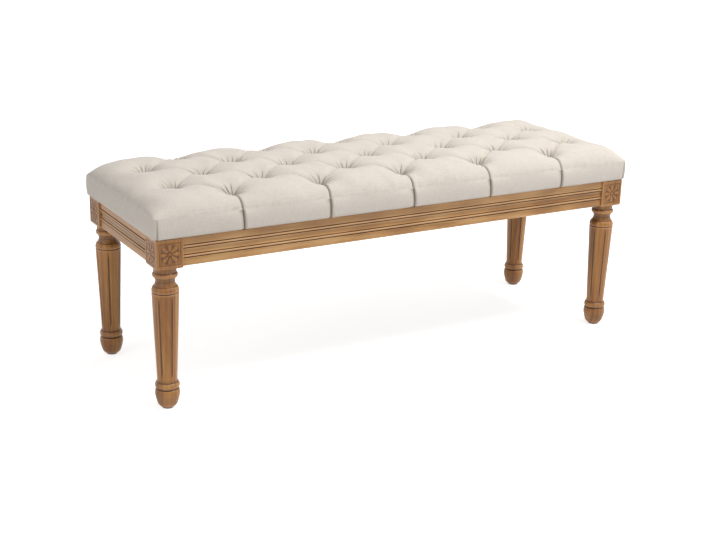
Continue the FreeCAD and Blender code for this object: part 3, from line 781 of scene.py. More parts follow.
@dataclass
class TuftedSeat:
    """The seat: a tufted cushion over a slab of foam.

    The cushion's top is a grid over its plan, raised to a pillow envelope and
    then pushed in along its own normals by the tufts, the folds between them
    and the pleats, and its sides are rings that go on down from the edge.
    """

    half_length: float = 600.0
    half_width: float = 200.0
    corner: float = 7.0
    hem: float = 371.1
    shoulder: float = 414.0
    crown: float = 460.0
    crown_fall: float = 5.0
    round_side: float = 54.0
    round_end: float = 78.0
    bulge: float = 2.6
    bulge_level: float = 395.0
    tuck: float = 3.2
    tuck_height: float = 4.0
    pitch_x: float = 204.0
    pitch_y: float = 75.0
    tuft_level: float = 417.0
    pit_radius: float = 25.0
    # Depths at the start, the middle and the end, and widths at both ends.
    crease_depth: Triple = (26.0, 16.0, 26.0)
    crease_width: Pair = (8.0, 8.0)
    crease_lean: float = 0.28
    pleat_depth: Triple = (30.0, 17.75, 9.5)
    pleat_width: Pair = (11.0, 4.2)
    pleat_hem_depth: float = 6.5
    pleat_fade: float = 13.0
    side_pleat_width: float = 2.8
    side_pleat_spread: float = 1.4
    corner_fold_in: float = 6.0
    corner_fold_depth: float = 4.6
    corner_fold_width: float = 1.8
    pleat_shifts: tuple[float, ...] = (6.0, 2.0, 6.0, 5.0, 1.0)
    end_fold: Pair = (58.0, 7.0)
    end_fold_depth: Triple = (24.0, 10.0, 1.0)
    end_fold_width: Pair = (9.0, 6.0)
    cavity_half_length: float = 593.6
    cavity_half_width: float = 193.6
    ceiling: float = 413.9
    sharpness: float = 5.0
    edge_step: float = 2.5
    wave_count: int = 7
    wave_height: float = 0.32
    wave_lengths: Pair = (38.0, 95.0)
    wrinkle_height: float = 3.6
    wrinkle_at: float = 21.0
    wrinkle_width: float = 13.0
    wrinkle_limit: float = 75.0
    # How dark the painted shade in the folds is, with its widths: close about a tuft and wide
    # about it, close along a crease and wide along it, and along a pleat.
    tuft_marks: tuple[Pair, Pair] = ((0.66, 8.5), (0.20, 27.0))
    crease_marks: tuple[Triple, Triple] = ((0.50, 0.24, 0.50), (0.05, 0.09, 0.05))
    crease_mark_widths: Pair = (2.2, 9.0)
    pleat_mark: Triple = (0.6, 0.75, 0.85)
    pleat_mark_width: Pair = (2.4, 1.5)
    darkest: float = 0.85
    # Painted shade marks a fold on the sides from a share of this depth on, up to a limit.
    side_mark_depth: float = 5.2
    side_mark_start: float = 0.12
    side_mark_limit: float = 0.78
    seed: int = 11

    def tufts(self) -> np.ndarray:
        """The places of the 27 tufts: rows of five and six, turn about."""
        rows = []
        for row in range(-2, 3):
            count = 5 if row % 2 == 0 else 6
            x = (np.arange(count) - (count - 1) / 2) * self.pitch_x
            rows.append(np.stack([x, np.full(count, row * self.pitch_y)], axis=1))
        return np.vstack(rows)

    def creases(self) -> list[tuple[np.ndarray, np.ndarray]]:
        """The folds between neighbouring tufts, as pairs of end points."""
        places = self.tufts()
        found = []
        for here in places:
            for step in (-1, 1):
                there = here + [step * self.pitch_x / 2, self.pitch_y]
                near = np.hypot(*(places - there).T)
                if near.min() < 1:
                    found.append((here, places[near.argmin()]))
        return found

    def pleats(self) -> list[tuple[np.ndarray, np.ndarray]]:
        """The pleats on the top, each from an outermost tuft to the edge."""
        found = []
        for number, shift in enumerate(self.pleat_shifts):
            column = (number - 2) * self.pitch_x
            for side in (-1, 1):
                start = np.array([column, side * 2 * self.pitch_y])
                end = np.array([column + shift * 0.4, side * (self.half_width + 2)])
                found.append((start, end))
        return found

    def envelope(self, x: np.ndarray, y: np.ndarray) -> np.ndarray:
        """The height of the stuffed seat before it is tufted.

        From the shoulder it rises to a slightly crowned top by a quarter of an
        ellipse from each side, times another from each end.

        Args:
            x: Places along the bench.
            y: Places across it.

        Returns:
            The height at each place.
        """
        top = self.crown - self.crown_fall * (y / self.half_width) ** 2
        top = top - self.crown_fall * 1.1 * (x / self.half_length) ** 8
        rise = np.ones_like(top)
        for gap, size in (
            (self.half_width - np.abs(y), self.round_side),
            (self.half_length - np.abs(x), self.round_end),
        ):
            part = 1 - np.clip(gap / size, 0, 1)
            rise = rise * np.sqrt(np.clip(1 - part**2, 0, 1))
        return self.shoulder + (top - self.shoulder) * rise

    def fold(
        self,
        x: np.ndarray,
        y: np.ndarray,
        start: np.ndarray,
        end: np.ndarray,
        depth: Triple,
        width: Pair,
        lean: float = 0.0,
    ) -> np.ndarray:
        """The depth of one fold: a cusp across the line from start to end.

        The depth falls off as the exponential of the distance over the width,
        both of which vary along the line, and lean makes one side steeper.

        Args:
            x: Places along the bench.
            y: Places across the bench.
            start: The line's start.
            end: The line's end.
            depth: At the start, the middle and the end.
            width: At the start and the end.
            lean: From -1 to 1, how much steeper the left side is.

        Returns:
            The depth at each place.
        """
        way = end - start
        length = float(np.hypot(*way))
        way = way / length
        along = np.clip((x - start[0]) * way[0] + (y - start[1]) * way[1], 0, length)
        off_x = x - start[0] - along * way[0]
        off_y = y - start[1] - along * way[1]
        side = off_x * -way[1] + off_y * way[0]
        share = along / length
        bend = (1 - share) * (1 - 2 * share) * depth[0]
        bend = bend + 4 * share * (1 - share) * depth[1]
        bend = bend - share * (1 - 2 * share) * depth[2]
        span = width[0] + (width[1] - width[0]) * share
        span = span * (1 + lean * np.tanh(side / 4))
        return bend * np.exp(-np.hypot(off_x, off_y) / span)

    def wrinkles(self, x: np.ndarray, y: np.ndarray) -> np.ndarray:
        """Fine folds that radiate from each tuft, and a slow unevenness.

        Round each tuft a root of a sine of six or seven turns, its phase bent
        at random, is strongest 21 mm out: round folds with sharp valleys.
        Over the whole top seven crossed slow waves add up.

        Args:
            x: Places along the bench.
            y: Places across it.

        Returns:
            The rise at each place.
        """
        chance = np.random.default_rng(self.seed)
        total = np.zeros_like(x)
        for _ in range(self.wave_count):
            turn = chance.uniform(0, 2 * math.pi)
            length = chance.uniform(*self.wave_lengths)
            phase = chance.uniform(0, 2 * math.pi)
            wave = (x * math.cos(turn) + y * math.sin(turn)) * 2 * math.pi / length
            total += self.wave_height * np.sin(wave + phase)
        for middle in self.tufts():
            off_x, off_y = x - middle[0], y - middle[1]
            reach = np.hypot(off_x, off_y)
            close = reach < self.wrinkle_limit
            angle = np.arctan2(off_y[close], off_x[close])
            count = 2 * chance.integers(6, 8)
            phase = chance.uniform(0, 2 * math.pi, 3)
            strength = chance.uniform(0.7, 1.25)
            turns = count * angle + phase[0] + 0.9 * np.sin(2 * angle + phase[1])
            uneven = 0.65 + 0.35 * np.sin(3 * angle + phase[2])
            ring = np.exp(-(((reach[close] - self.wrinkle_at) / self.wrinkle_width) ** 2))
            folds = np.abs(np.sin(turns / 2)) ** 0.8 - 0.6
            total[close] += self.wrinkle_height * strength * uneven * ring * folds
        return total

    def depth(self, x: np.ndarray, y: np.ndarray) -> np.ndarray:
        """How far the tufting pushes the top in.

        The pits, folds and pleats are joined by a smooth maximum, the root of
        the sum of their powers, with the sharpness as the power.

        Args:
            x: Places along the bench.
            y: Places across it.

        Returns:
            The depth at each place.
        """
        total = np.zeros_like(x)
        for middle in self.tufts():
            room = float(self.envelope(*middle[:, None])[0])
            reach = np.hypot(x - middle[0], y - middle[1])
            pit = (room - self.tuft_level) * np.exp(-(reach / self.pit_radius))
            total += pit**self.sharpness
        for start, end in self.creases():
            lean = math.copysign(self.crease_lean, end[0] - start[0])
            crease = self.fold(x, y, start, end, self.crease_depth, self.crease_width, lean)
            total += crease**self.sharpness
        for start, end in self.pleats():
            pleat = self.fold(x, y, start, end, self.pleat_depth, self.pleat_width, -0.5)
            total += pleat**self.sharpness
        for end_x in (-1, 1):
            for end_y in (-1, 1):
                start = np.array([end_x * 2.5 * self.pitch_x, end_y * self.pitch_y])
                end = start + [end_x * self.end_fold[0], end_y * self.end_fold[1]]
                crease = self.fold(x, y, start, end, self.end_fold_depth, self.end_fold_width)
                total += crease**self.sharpness
        return total ** (1 / self.sharpness)

    def painted_fold_shade(self, x: np.ndarray, y: np.ndarray) -> np.ndarray:
        """The painted shade in the cloth's folds: bells about tufts, folds and pleats.

        Args:
            x: Places along the bench.
            y: Places across it.

        Returns:
            The painted shade at each place, 0 where none is painted.
        """
        total = np.zeros_like(x)
        for middle in self.tufts():
            reach = np.hypot(x - middle[0], y - middle[1])
            for (strength, radius), power in zip(self.tuft_marks, (1.5, 2)):
                total += strength * np.exp(-((reach / radius) ** power))
        for start, end in self.creases():
            for strengths, width in zip(self.crease_marks, self.crease_mark_widths):
                total += self.fold(x, y, start, end, strengths, (width, width))
        for start, end in self.pleats():
            total += self.fold(x, y, start, end, self.pleat_mark, self.pleat_mark_width)
        return np.clip(total, 0, self.darkest)

    def lines(self, half: float, rounding: float, inner: np.ndarray) -> np.ndarray:
        """Grid lines: close together where the edge turns over, then the inner ones.

        Args:
            half: Half the size of the grid.
            rounding: How far in the edge turns over.
            inner: The lines between the edges.

        Returns:
            All lines, from edge to edge.
        """
        count = int(rounding * math.pi / 2 / self.edge_step)
        turn = rounding * (1 - np.cos(np.linspace(0, math.pi / 2, count)[:-1]))
        return np.concatenate([-half + turn, inner, (half - turn)[::-1]])

    def outward(self, loop: np.ndarray) -> np.ndarray:
        """The way out from a loop of plan points, square to the loop.

        Args:
            loop: The places, counter-clockwise.

        Returns:
            A unit vector for each place.
        """
        way = np.roll(loop, -1, axis=0) - np.roll(loop, 1, axis=0)
        way = way / np.linalg.norm(way, axis=1, keepdims=True)
        return np.stack([way[:, 1], -way[:, 0]], axis=1)

    def side_swell(self, level: np.ndarray | float) -> np.ndarray:
        """How far the sides stand out at a level: a bell, tucked under at the hem.

        Args:
            level: The level, or one for each place.

        Returns:
            The distance out.
        """
        swell = self.bulge * np.exp(-(((level - self.bulge_level) / 24) ** 2))
        under = np.clip(1 - (level - self.hem) / self.tuck_height, 0, 1)
        return swell - self.tuck * (1 - np.sqrt(1 - under**2))

    def side_folds(self, loop: np.ndarray, level: float) -> np.ndarray:
        """The depth of the pleats and corner folds on the sides, at one level.

        A pleat goes on down as a narrow cusp, as deep at the shoulder as the
        top's pleats end and 6.5 mm at the hem, steeper on its right, and drifts
        sideways on its way.

        Args:
            loop: The edge's places on the plan.
            level: The level.

        Returns:
            The depth at each place.
        """
        drop = (self.shoulder - level) / (self.shoulder - self.hem)
        x, y = loop.T
        on_side = np.clip((np.abs(y) - (self.half_width - 9)) / 6, 0, 1)
        total = np.zeros(len(loop))
        fade = math.exp(-(self.shoulder - level) / self.pleat_fade)
        deep = self.pleat_hem_depth + (self.pleat_depth[2] - self.pleat_hem_depth) * fade
        for number, shift in enumerate(self.pleat_shifts):
            middle = (number - 2) * self.pitch_x + shift * (0.4 + 0.6 * drop)
            off = x - middle
            wide = self.side_pleat_width + self.side_pleat_spread * fade
            span = wide * (1 - 0.5 * np.tanh(off / 1.5))
            total += deep * np.exp(-np.abs(off) / span) * on_side
        for end in (-1, 1):
            off = x - end * (self.half_length - self.corner_fold_in - drop)
            cusp = self.corner_fold_depth * np.exp(-np.abs(off) / self.corner_fold_width)
            total += cusp * on_side * (0.6 + 0.4 * drop)
        return total

    def crowned(self) -> tuple[np.ndarray, np.ndarray]:
        """Lay a grid over the plan and raise it to the envelope.

        Each square corner of the plan is drawn in to a quarter disc.

        Returns:
            The grid's places on the square plan, and its raised points.
        """
        columns = tuple((number - 2) * self.pitch_x for number in range(5))
        near_x, near_y = self.half_length - self.round_end, self.half_width - self.round_side
        inner_x = spread(-near_x, near_x, 2.5, columns, 1.05, 9.0)
        inner_y = spread(-near_y, near_y, 2.3)
        flat_x = self.lines(self.half_length, self.round_end, inner_x)
        flat_y = self.lines(self.half_width, self.round_side, inner_y)
        flat = np.stack(np.meshgrid(flat_x, flat_y, indexing="ij"), axis=-1)
        half = np.array([self.half_length, self.half_width])
        inside = np.clip(1 - (half - np.abs(flat)) / self.corner, 0, 1)
        drawn = np.sqrt(1 - inside[..., ::-1] ** 2 / 2) - 1
        plan = flat + np.sign(flat) * self.corner * inside * drawn
        height = self.envelope(flat[..., 0], flat[..., 1])
        return flat, np.concatenate([plan, height[..., None]], axis=-1)

    def sides(
        self, loop: np.ndarray, out: np.ndarray, push: np.ndarray
    ) -> tuple[list[np.ndarray], list[np.ndarray], list[np.ndarray]]:
        """Carry the edge of the top down to the hem.

        Args:
            loop: The edge's places on the plan.
            out: The way out at each.
            push: How far the top's edge stands out at each.

        Returns:
            The rings of points, their places on the cloth, and their marks of painted shade.
        """
        steps = np.linspace(0.3, math.pi / 2, 6)
        levels = np.concatenate(
            [
                np.linspace(self.shoulder, 377, 14)[1:],
                self.hem + self.tuck_height * (1 - np.sin(steps)),
            ]
        )
        waves = 0.25 * self.wrinkles(*loop.T)
        begin = self.side_swell(self.shoulder) - self.side_folds(loop, self.shoulder) + waves
        begin = push - begin
        points, chart, marks = [], [], []
        for level in levels:
            drop = (self.shoulder - level) / (self.shoulder - self.hem)
            folds = self.side_folds(loop, level)
            away = self.side_swell(level) - folds + waves + begin * math.exp(-drop * 6)
            around = loop + out * away[:, None]
            points.append(np.column_stack([around, np.full(len(loop), level)]))
            chart.append(loop + out * (self.shoulder - level))
            # Painted shade darkens the cloth in the side pleats and corner folds.
            mark = folds / self.side_mark_depth - self.side_mark_start
            marks.append(np.clip(mark, 0, self.side_mark_limit))
        return points, chart, marks

    def cushion(self) -> None:
        """Build the cushion: top grid, side rings, hem, and the hollow for the board."""
        flat, top = self.crowned()
        normal = np.cross(np.gradient(top, axis=0), np.gradient(top, axis=1))
        size = np.linalg.norm(normal, axis=-1, keepdims=True)
        normal = np.where(size > 1e-6, normal / np.maximum(size, 1e-6), (0, 0, 1.0))
        normal, top = normal.reshape(-1, 3), top.reshape(-1, 3)
        index = np.arange(len(top)).reshape(flat.shape[:2])
        edge = np.concatenate([index[:, 0], index[-1, 1:], index[-2::-1, -1], index[0, -2:0:-1]])
        loop = top[edge, :2]
        out = self.outward(loop)
        normal[edge] = np.column_stack([out, np.zeros(len(out))])
        x, y, level = top.T
        push = self.side_swell(level) * np.linalg.norm(normal[:, :2], axis=1) - self.depth(x, y)
        push = push + self.wrinkles(x, y) * np.clip((level - self.shoulder) / 20, 0.25, 1)
        points, chart, marks = self.sides(loop, out, push[edge])
        cavity = flat.reshape(-1, 2)[edge] * [
            self.cavity_half_length / self.half_length,
            self.cavity_half_width / self.half_width,
        ]
        for inner in (self.hem, self.ceiling):
            points.append(np.column_stack([cavity, np.full(len(loop), inner)]))
            chart.append(loop + out * (self.shoulder - self.hem))
            marks.append(np.zeros(len(loop)))
        below = len(top) + np.arange(len(points) * len(loop)).reshape(len(points), -1)
        rows = np.vstack([edge, below])
        after = np.roll(rows, -1, axis=1)
        sides = np.stack([rows[:-1], rows[1:], after[1:], after[:-1]], axis=-1).reshape(-1, 4)
        middle = np.full(len(loop), below[-1, -1] + 1)
        fan = np.stack([rows[-1], middle, after[-1]], axis=1)
        # The cushion's marks are painted shade in its folds and pleats.
        piece = write_mesh(
            "tufted_cushion",
            np.vstack([top + normal * push[:, None], *points, [[0.0, 0.0, self.ceiling]]]),
            np.vstack([tiles(index), sides]),
            fan.tolist(),
            np.concatenate([self.painted_fold_shade(x, y), *marks, [0.0]]),
            chart=np.vstack([top[:, :2], *chart, [[0.0, 0.0]]]) * MM,
            crisp=70,
        )
        present(piece, "linen", WashedLinen("washed_linen"), "seat_cover")

    def foam(self) -> None:
        """Build the foam slab: a flat block with edges rounded by the hot wire.

        Rings round the slab step in at the bottom and top by a quarter circle.
        """
        half_x, half_y, low, high, soft = 589.6, 189.6, 385.2, 413.5, 3.0
        turn = np.linspace(0, math.pi / 2, 5)
        rise = soft * (1 - np.cos(turn))
        inset = np.concatenate([1 - np.sin(turn), 1 - np.sin(turn[::-1])]) * soft
        level = np.concatenate([low + rise, high - rise[::-1]])
        x = spread(-half_x, half_x, 60.0)
        y = spread(-half_y, half_y, 50.0)
        loop = np.concatenate(
            [
                np.stack([x, np.full(len(x), -half_y)], 1),
                np.stack([np.full(len(y), half_x), y], 1)[1:],
                np.stack([x[::-1], np.full(len(x), half_y)], 1)[1:],
                np.stack([np.full(len(y), -half_x), y[::-1]], 1)[1:-1],
            ]
        )
        rings = np.empty((len(level), len(loop), 3))
        rings[..., :2] = loop * (1 - inset[:, None, None] / [half_x, half_y])
        rings[..., 2] = level[:, None]
        piece = write_skins("foam_slab", [Skin(rings, End.FLAT, End.FLAT)], 50)
        present(piece, "foam", SeatFoam("cut_foam"), "seat_foam")

    def dust_sheet(self) -> None:
        """Build the dust cloth under the seat, pulled tight and stapled to the rails.

        Each half sags between the rails and the cross rail by the square of a
        sine along it times the square of a cosine across it.
        """
        half_x, half_y, level, sag = 588.0, 188.0, 370.4, 4.5
        cross_rail, rail_x, rail_y = 12.0, 569.0, 171.0
        across_x, across_y = np.linspace(-half_x, half_x, 99), np.linspace(-half_y, half_y, 33)
        x, y = np.meshgrid(across_x, across_y, indexing="ij")
        along = np.clip((np.abs(x) - cross_rail) / (rail_x - cross_rail), 0, 1)
        across = np.clip(y / rail_y, -1, 1)
        dip = np.sin(math.pi * along) ** 2 * np.cos(math.pi / 2 * across) ** 2
        points = np.stack([x, y, level - sag * dip], axis=-1).reshape(-1, 3)
        piece = write_mesh("dust_sheet", points, tiles(np.arange(x.size).reshape(x.shape)), [])
        thick = piece.modifiers.new("thickness", "SOLIDIFY")
        thick.thickness = 0.5 * MM
        thick.offset = 0.0
        present(piece, "dust_cloth", DustCloth("spunbond_cloth"), "dust_cover")

    def build(self) -> None:
        """Build the cushion, foam and dust sheet, and finish what stays of CAD."""
        self.cushion()
        self.foam()
        self.dust_sheet()
        coat(bpy.data.objects["seat_board"], SawnWood("poplar_board", Grain.ALONG_X))
        coat(bpy.data.objects["tuft_ties"], TieTape("cotton_tape"))
        toggle = Moulded("moulded_toggle", colour="#D9D6CC", rough=0.45)
        coat(bpy.data.objects["tie_toggles"], toggle)


# Legs


@dataclass
class Corner:
    """One corner of the bench: its name, its side of each axis and two turns."""

    name: str
    side_x: int
    side_y: int
    turn: float
    first_flute: float


CORNERS = (
    Corner("front_left", -1, -1, 0.0, 278.0),
    Corner("front_right", 1, -1, 90.0, 256.0),
    Corner("back_right", 1, 1, 180.0, 260.0),
    Corner("back_left", -1, 1, 270.0, 250.0),
)


@dataclass
class FlutedLeg:
    """A leg: a square block with carved rosettes over a turned, fluted shaft.

    The shaft is a profile turned round the axis, less the flutes, and the block
    is a square outline carried up, with the carving pushed into its two outer
    faces.
    """

    spacing_x: float = 1132.0
    spacing_y: float = 336.0
    half_block: float = 29.2
    block_low: float = 306.5
    block_high: float = 370.0
    lower_round: float = 5.0
    arris: float = 1.2
    corner_flat: float = 14.0
    flute_count: int = 6
    flute_half_width: float = 2.5
    flute_depth: float = 2.1
    flute_low: float = 69.0
    flute_high: float = 247.0
    flute_taper: float = 16.0
    panel_half: float = 23.0
    carve_depth: float = 1.7
    carve_step: float = 0.62
    petal_count: int = 8
    petal_start: float = 4.6
    petal_wide: float = 15.0
    petal_end: float = 20.8
    petal_half_width: float = 5.3
    boss_radius: float = 4.3
    profile_step: float = 0.25
    # How the glaze lies on the turned shaft, how much darker the turnings are marked, and where its
    # long plain stretch is.
    glaze_gain: float = 1.6
    turnings_darker: float = 0.24
    turnings_fade: float = 4.0
    shaft_low: float = 62.0
    shaft_high: float = 256.0
    flute_glaze: float = 0.85
    flute_rub: float = 0.35
    flute_rub_width: float = 0.7
    # How many rings of points a millimetre of the profile gets, plain or turned.
    plain_low: float = 72.0
    plain_high: float = 244.0
    plain_density: float = 0.28
    turned_density: float = 1.25
    # The cut beside a petal, the groove of the frame and the slope of the ground.
    petal_root: float = 0.28
    cut_depth: float = 1.5
    cut_width: float = 0.75
    frame_depth: float = 1.3
    frame_width: float = 0.9
    slope_start: float = 12.0
    slope_fall: float = 0.78
    # How the block is stained in its carving and rubbed along its edges.
    carve_stain: float = 1.25
    face_rub: float = 0.30
    face_rub_width: float = 1.6
    foot_rub: float = 0.35
    arris_rub: float = 0.6
    # Where the lines of points lie from the middle of a flute, at a mean radius.
    flute_lines: tuple[float, ...] = (0.7, 1.4, 1.9, 2.3, 2.6, 2.95, 3.5, 5.2, 7.6, 10.2)
    mean_radius: float = 24.5
    # Level, radius and how far the stretch up to the next point swells out.
    profile: tuple[Triple, ...] = (
        (2.5, 12.0, 0.0),
        (2.5, 13.5, 0.8),
        (9.6, 20.6, 0.4),
        (28.0, 25.5, 0.9),
        (42.2, 24.4, 0.0),
        (43.4, 22.6, 0.0),
        (45.0, 23.4, 2.1),
        (56.8, 23.4, 0.0),
        (58.0, 21.6, -0.2),
        (64.0, 20.8, 0.0),
        (252.0, 28.1, 0.0),
        (253.5, 26.5, 0.0),
        (255.0, 28.1, 0.9),
        (265.5, 25.6, 0.0),
        (265.9, 24.0, -0.7),
        (277.5, 19.9, -0.3),
        (285.2, 22.8, 0.0),
        (285.8, 24.6, 1.6),
        (294.6, 24.6, 0.0),
        (295.4, 23.4, -0.2),
        (306.8, 24.0, 0.0),
    )

    def outline(self) -> tuple[np.ndarray, np.ndarray, np.ndarray]:
        """The turned profile at even steps, with its edges softened.

        A stretch that swells adds four times the swell times the share
        travelled times the share left, square to the stretch.

        Returns:
            The levels, the radii and the glaze marks.
        """
        levels, radii = [], []
        rows = np.array(self.profile)
        for (z0, r0, swell), (z1, r1, _) in zip(rows[:-1], rows[1:]):
            length = math.hypot(z1 - z0, r1 - r0)
            count = max(2, int(length / self.profile_step))
            share = np.linspace(0, 1, count, endpoint=False)
            lift = 4 * swell * share * (1 - share)
            levels.append(z0 + (z1 - z0) * share - lift * (r1 - r0) / length)
            radii.append(r0 + (r1 - r0) * share + lift * (z1 - z0) / length)
        level = np.append(np.concatenate(levels), rows[-1, 0])
        radius = np.append(np.concatenate(radii), rows[-1, 1])
        step = np.hypot(np.diff(level), np.diff(radius))
        travel = np.concatenate([[0.0], np.cumsum(step)])
        even = np.arange(0, travel[-1], self.profile_step)
        level = np.interp(even, travel, level)
        radius = np.interp(even, travel, radius)
        broad = smoothed(radius, 9.0)
        level, radius = smoothed(level, 1.2), smoothed(radius, 1.2)
        glaze = np.clip((broad - radius) * self.glaze_gain, -1, 1)
        # The turnings above and below the long shaft are marked darker than the shaft.
        past = (self.shaft_low - level, level - self.shaft_high)
        ends = sum(np.clip(gap / self.turnings_fade, 0, 1) for gap in past)
        return level, radius, np.clip(glaze + self.turnings_darker * ends, -1, 1)

    def shaft(self, first_flute: float) -> Skin:
        """Turn the profile round the axis and cut the flutes.

        A flute's depth is one less the square of the distance from its middle
        over its half width, and both run out to nothing at its ends.

        Args:
            first_flute: Where the first flute lies, in degrees.

        Returns:
            The shaft's closed skin.
        """
        outline = self.outline()
        level = outline[0]
        total = np.arange(len(level)) * self.profile_step
        # The plain length of the shaft needs fewer rings than the turnings.
        plain = (level > self.plain_low) & (level < self.plain_high)
        weight = np.where(plain, self.plain_density, self.turned_density)
        mean = (weight[1:] + weight[:-1]) / 2
        run = np.concatenate([[0.0], np.cumsum(mean * self.profile_step)])
        pick = np.interp(np.linspace(0, run[-1], int(run[-1])), run, total)
        level, radius, glaze = (np.interp(pick, total, values) for values in outline)
        half = math.pi / self.flute_count
        steps = np.array(self.flute_lines) / self.mean_radius
        sector = np.concatenate([[-half], -steps[::-1], [0.0], steps])
        middles = np.arange(self.flute_count) * 2 * half + math.radians(first_flute)
        angle = (middles[:, None] + sector[None]).ravel()
        off = np.tile(np.abs(sector), self.flute_count)
        to_end = np.minimum(level - self.flute_low, self.flute_high - level)
        taper = np.clip(to_end / self.flute_taper, 0, 1)
        shape = np.sqrt(1 - (1 - taper) ** 2)[:, None]
        wide = np.maximum(self.flute_half_width * shape, 1e-6)
        aside = off[None] * radius[:, None]
        hollow = np.clip(1 - (aside / wide) ** 2, 0, 1)
        reach = radius[:, None] - self.flute_depth * shape * hollow
        upright = np.broadcast_to(level[:, None], reach.shape)
        rings = np.stack([reach * np.cos(angle), reach * np.sin(angle), upright], axis=-1)
        rub = self.flute_rub * np.exp(-((np.abs(aside - wide) / self.flute_rub_width) ** 2)) * shape
        glaze = np.clip(glaze[:, None] + self.flute_glaze * hollow * shape - rub, -1, 1)
        return Skin(rings, glaze=glaze)

    def rosette(self, across: np.ndarray, up: np.ndarray) -> np.ndarray:
        """The depth of the carving at a place on an outer face.

        A square V groove frames the panel, whose ground is deepest between the
        petals and slopes up to the frame. Eight petals rise out of it: each is
        as wide as a sine from its root to its widest place and as an ellipse
        from there to its rounded end, domed across, with a cut along each
        side. A small boss fills the middle.

        Args:
            across: Places across the face, from its middle.
            up: Places up it.

        Returns:
            The depth at each place.
        """
        reach = np.hypot(across, up)
        angle = np.arctan2(up, across)
        part = 2 * math.pi / self.petal_count
        off = (angle + part / 2) % part - part / 2
        along = reach * np.cos(off)
        aside = np.abs(reach * np.sin(off))
        start, wide_at, end = self.petal_start, self.petal_wide, self.petal_end
        rising = np.clip((along - start) / (wide_at - start), 0, 1)
        falling = np.clip((along - wide_at) / (end - wide_at), 0, 1)
        rise = self.petal_root + (1 - self.petal_root) * np.sin(rising * math.pi / 2)
        wide = self.petal_half_width * rise
        wide = wide * np.sqrt(np.clip(1 - falling**2, 0, 1))
        inside = (along > start) & (along < end)
        dome = np.where(inside, 1 - (aside / np.maximum(wide, 0.05)) ** 2, 0)
        petal = np.clip(dome, 0, 1) ** 0.6
        boss = np.sqrt(np.clip(1 - (reach / self.boss_radius) ** 2, 0, 1))
        raised = np.maximum(petal, boss)
        square = np.maximum(np.abs(across), np.abs(up))
        # The ground slopes up from the petals to the face near the panel's edge.
        away = np.clip((reach - self.slope_start) / self.slope_start, 0, 1)
        ground = self.carve_depth * (1 - self.slope_fall * away) * (square < self.panel_half)
        cut = np.exp(-(((aside - wide) / self.cut_width) ** 2)) * inside * (1 - falling**4)
        gap = np.abs(square - self.panel_half)
        groove = self.frame_depth * np.clip(1 - gap / self.frame_width, 0, 1)
        carved = np.maximum(ground * (1 - raised), self.cut_depth * cut * (1 - boss))
        return np.maximum(carved, groove)

    def block(self) -> Skin:
        """Carry the square outline up, and carve its two outer faces.

        Each ring is the outline drawn in by a quarter circle at the bottom, and
        the carving moves a point straight into its face.

        Returns:
            The block's closed skin.
        """
        half, soft = self.half_block, self.arris
        near = half - soft
        fine = np.arange(-near, near + 0.01, self.carve_step)
        coarse = np.linspace(-near, half - self.corner_flat, 7)
        arc = np.linspace(0, math.pi / 2, 5)[1:-1]
        sine, cosine = np.sin(arc), np.cos(arc)
        lines = [
            np.stack([fine, np.full(len(fine), -half)], 1),
            np.array([near, -near]) + np.stack([sine, -cosine], 1) * soft,
            np.stack([np.full(len(coarse), half), coarse], 1),
            np.stack([coarse[::-1], np.full(len(coarse), half)], 1),
            np.array([-near, near]) + np.stack([-sine, cosine], 1) * soft,
            np.stack([np.full(len(fine), -half), fine[::-1]], 1),
            np.array([-near, -near]) + np.stack([-cosine, -sine], 1) * soft,
        ]
        plan = np.vstack(lines)
        faces = np.repeat(np.arange(len(lines)), [len(line) for line in lines])
        bend = np.linspace(0, math.pi / 2, 8)[:-1]
        straight = self.block_low + self.lower_round
        level = np.concatenate(
            [
                self.block_low + self.lower_round * (1 - np.cos(bend)),
                np.arange(straight, self.block_high - 1, self.carve_step),
                [self.block_high - 0.8, self.block_high - 0.2, self.block_high],
            ]
        )
        inset = np.zeros(len(level))
        inset[: len(bend)] = self.lower_round * (1 - np.sin(bend))
        inset[-2:] = (0.2, 0.8)
        rings = np.empty((len(level), len(plan), 3))
        rings[..., :2] = plan[None] * (1 - inset / half)[:, None, None]
        rings[..., 2] = level[:, None]
        up = (level - (self.block_low + self.block_high) / 2)[:, None]
        glaze = np.zeros(rings.shape[:2])
        glaze[: len(bend)] = -self.foot_rub
        for face, axis in ((0, 1), (5, 0)):
            on = faces == face
            across = plan[on, 1 - axis][None]
            carve = self.rosette(*np.broadcast_arrays(across, up))
            rings[:, on, axis] += carve
            square = np.maximum(np.abs(across), np.abs(up))
            rub = self.face_rub * np.exp(-(((half - square) / self.face_rub_width) ** 2))
            stain = np.clip(carve / self.carve_depth, 0, 1) ** 1.15
            glaze[:, on] = np.clip(stain * self.carve_stain - rub, -1, 1)
        for rounded in (1, 4, 6):
            glaze[:, faces == rounded] = -self.arris_rub
        return Skin(rings, glaze=glaze)

    def build(self, corner: Corner) -> None:
        """Build the leg of one corner.

        Args:
            corner: Where the leg stands and how it is turned.
        """
        block = self.block()
        block.rings[..., :2] = spin(block.rings[..., :2], corner.turn)
        shaft = self.shaft(corner.first_flute)
        shift = [corner.side_x * self.spacing_x / 2, corner.side_y * self.spacing_y / 2]
        for skin in (block, shaft):
            skin.rings[..., :2] += shift
        piece = write_skins(f"turned_leg_{corner.name}", [shaft, block], 55)
        finish = GlazedHardwood("glazed_wood_upright", Grain.ALONG_Z)
        present(piece, "wood", finish, f"leg_{corner.name}")


# Rails


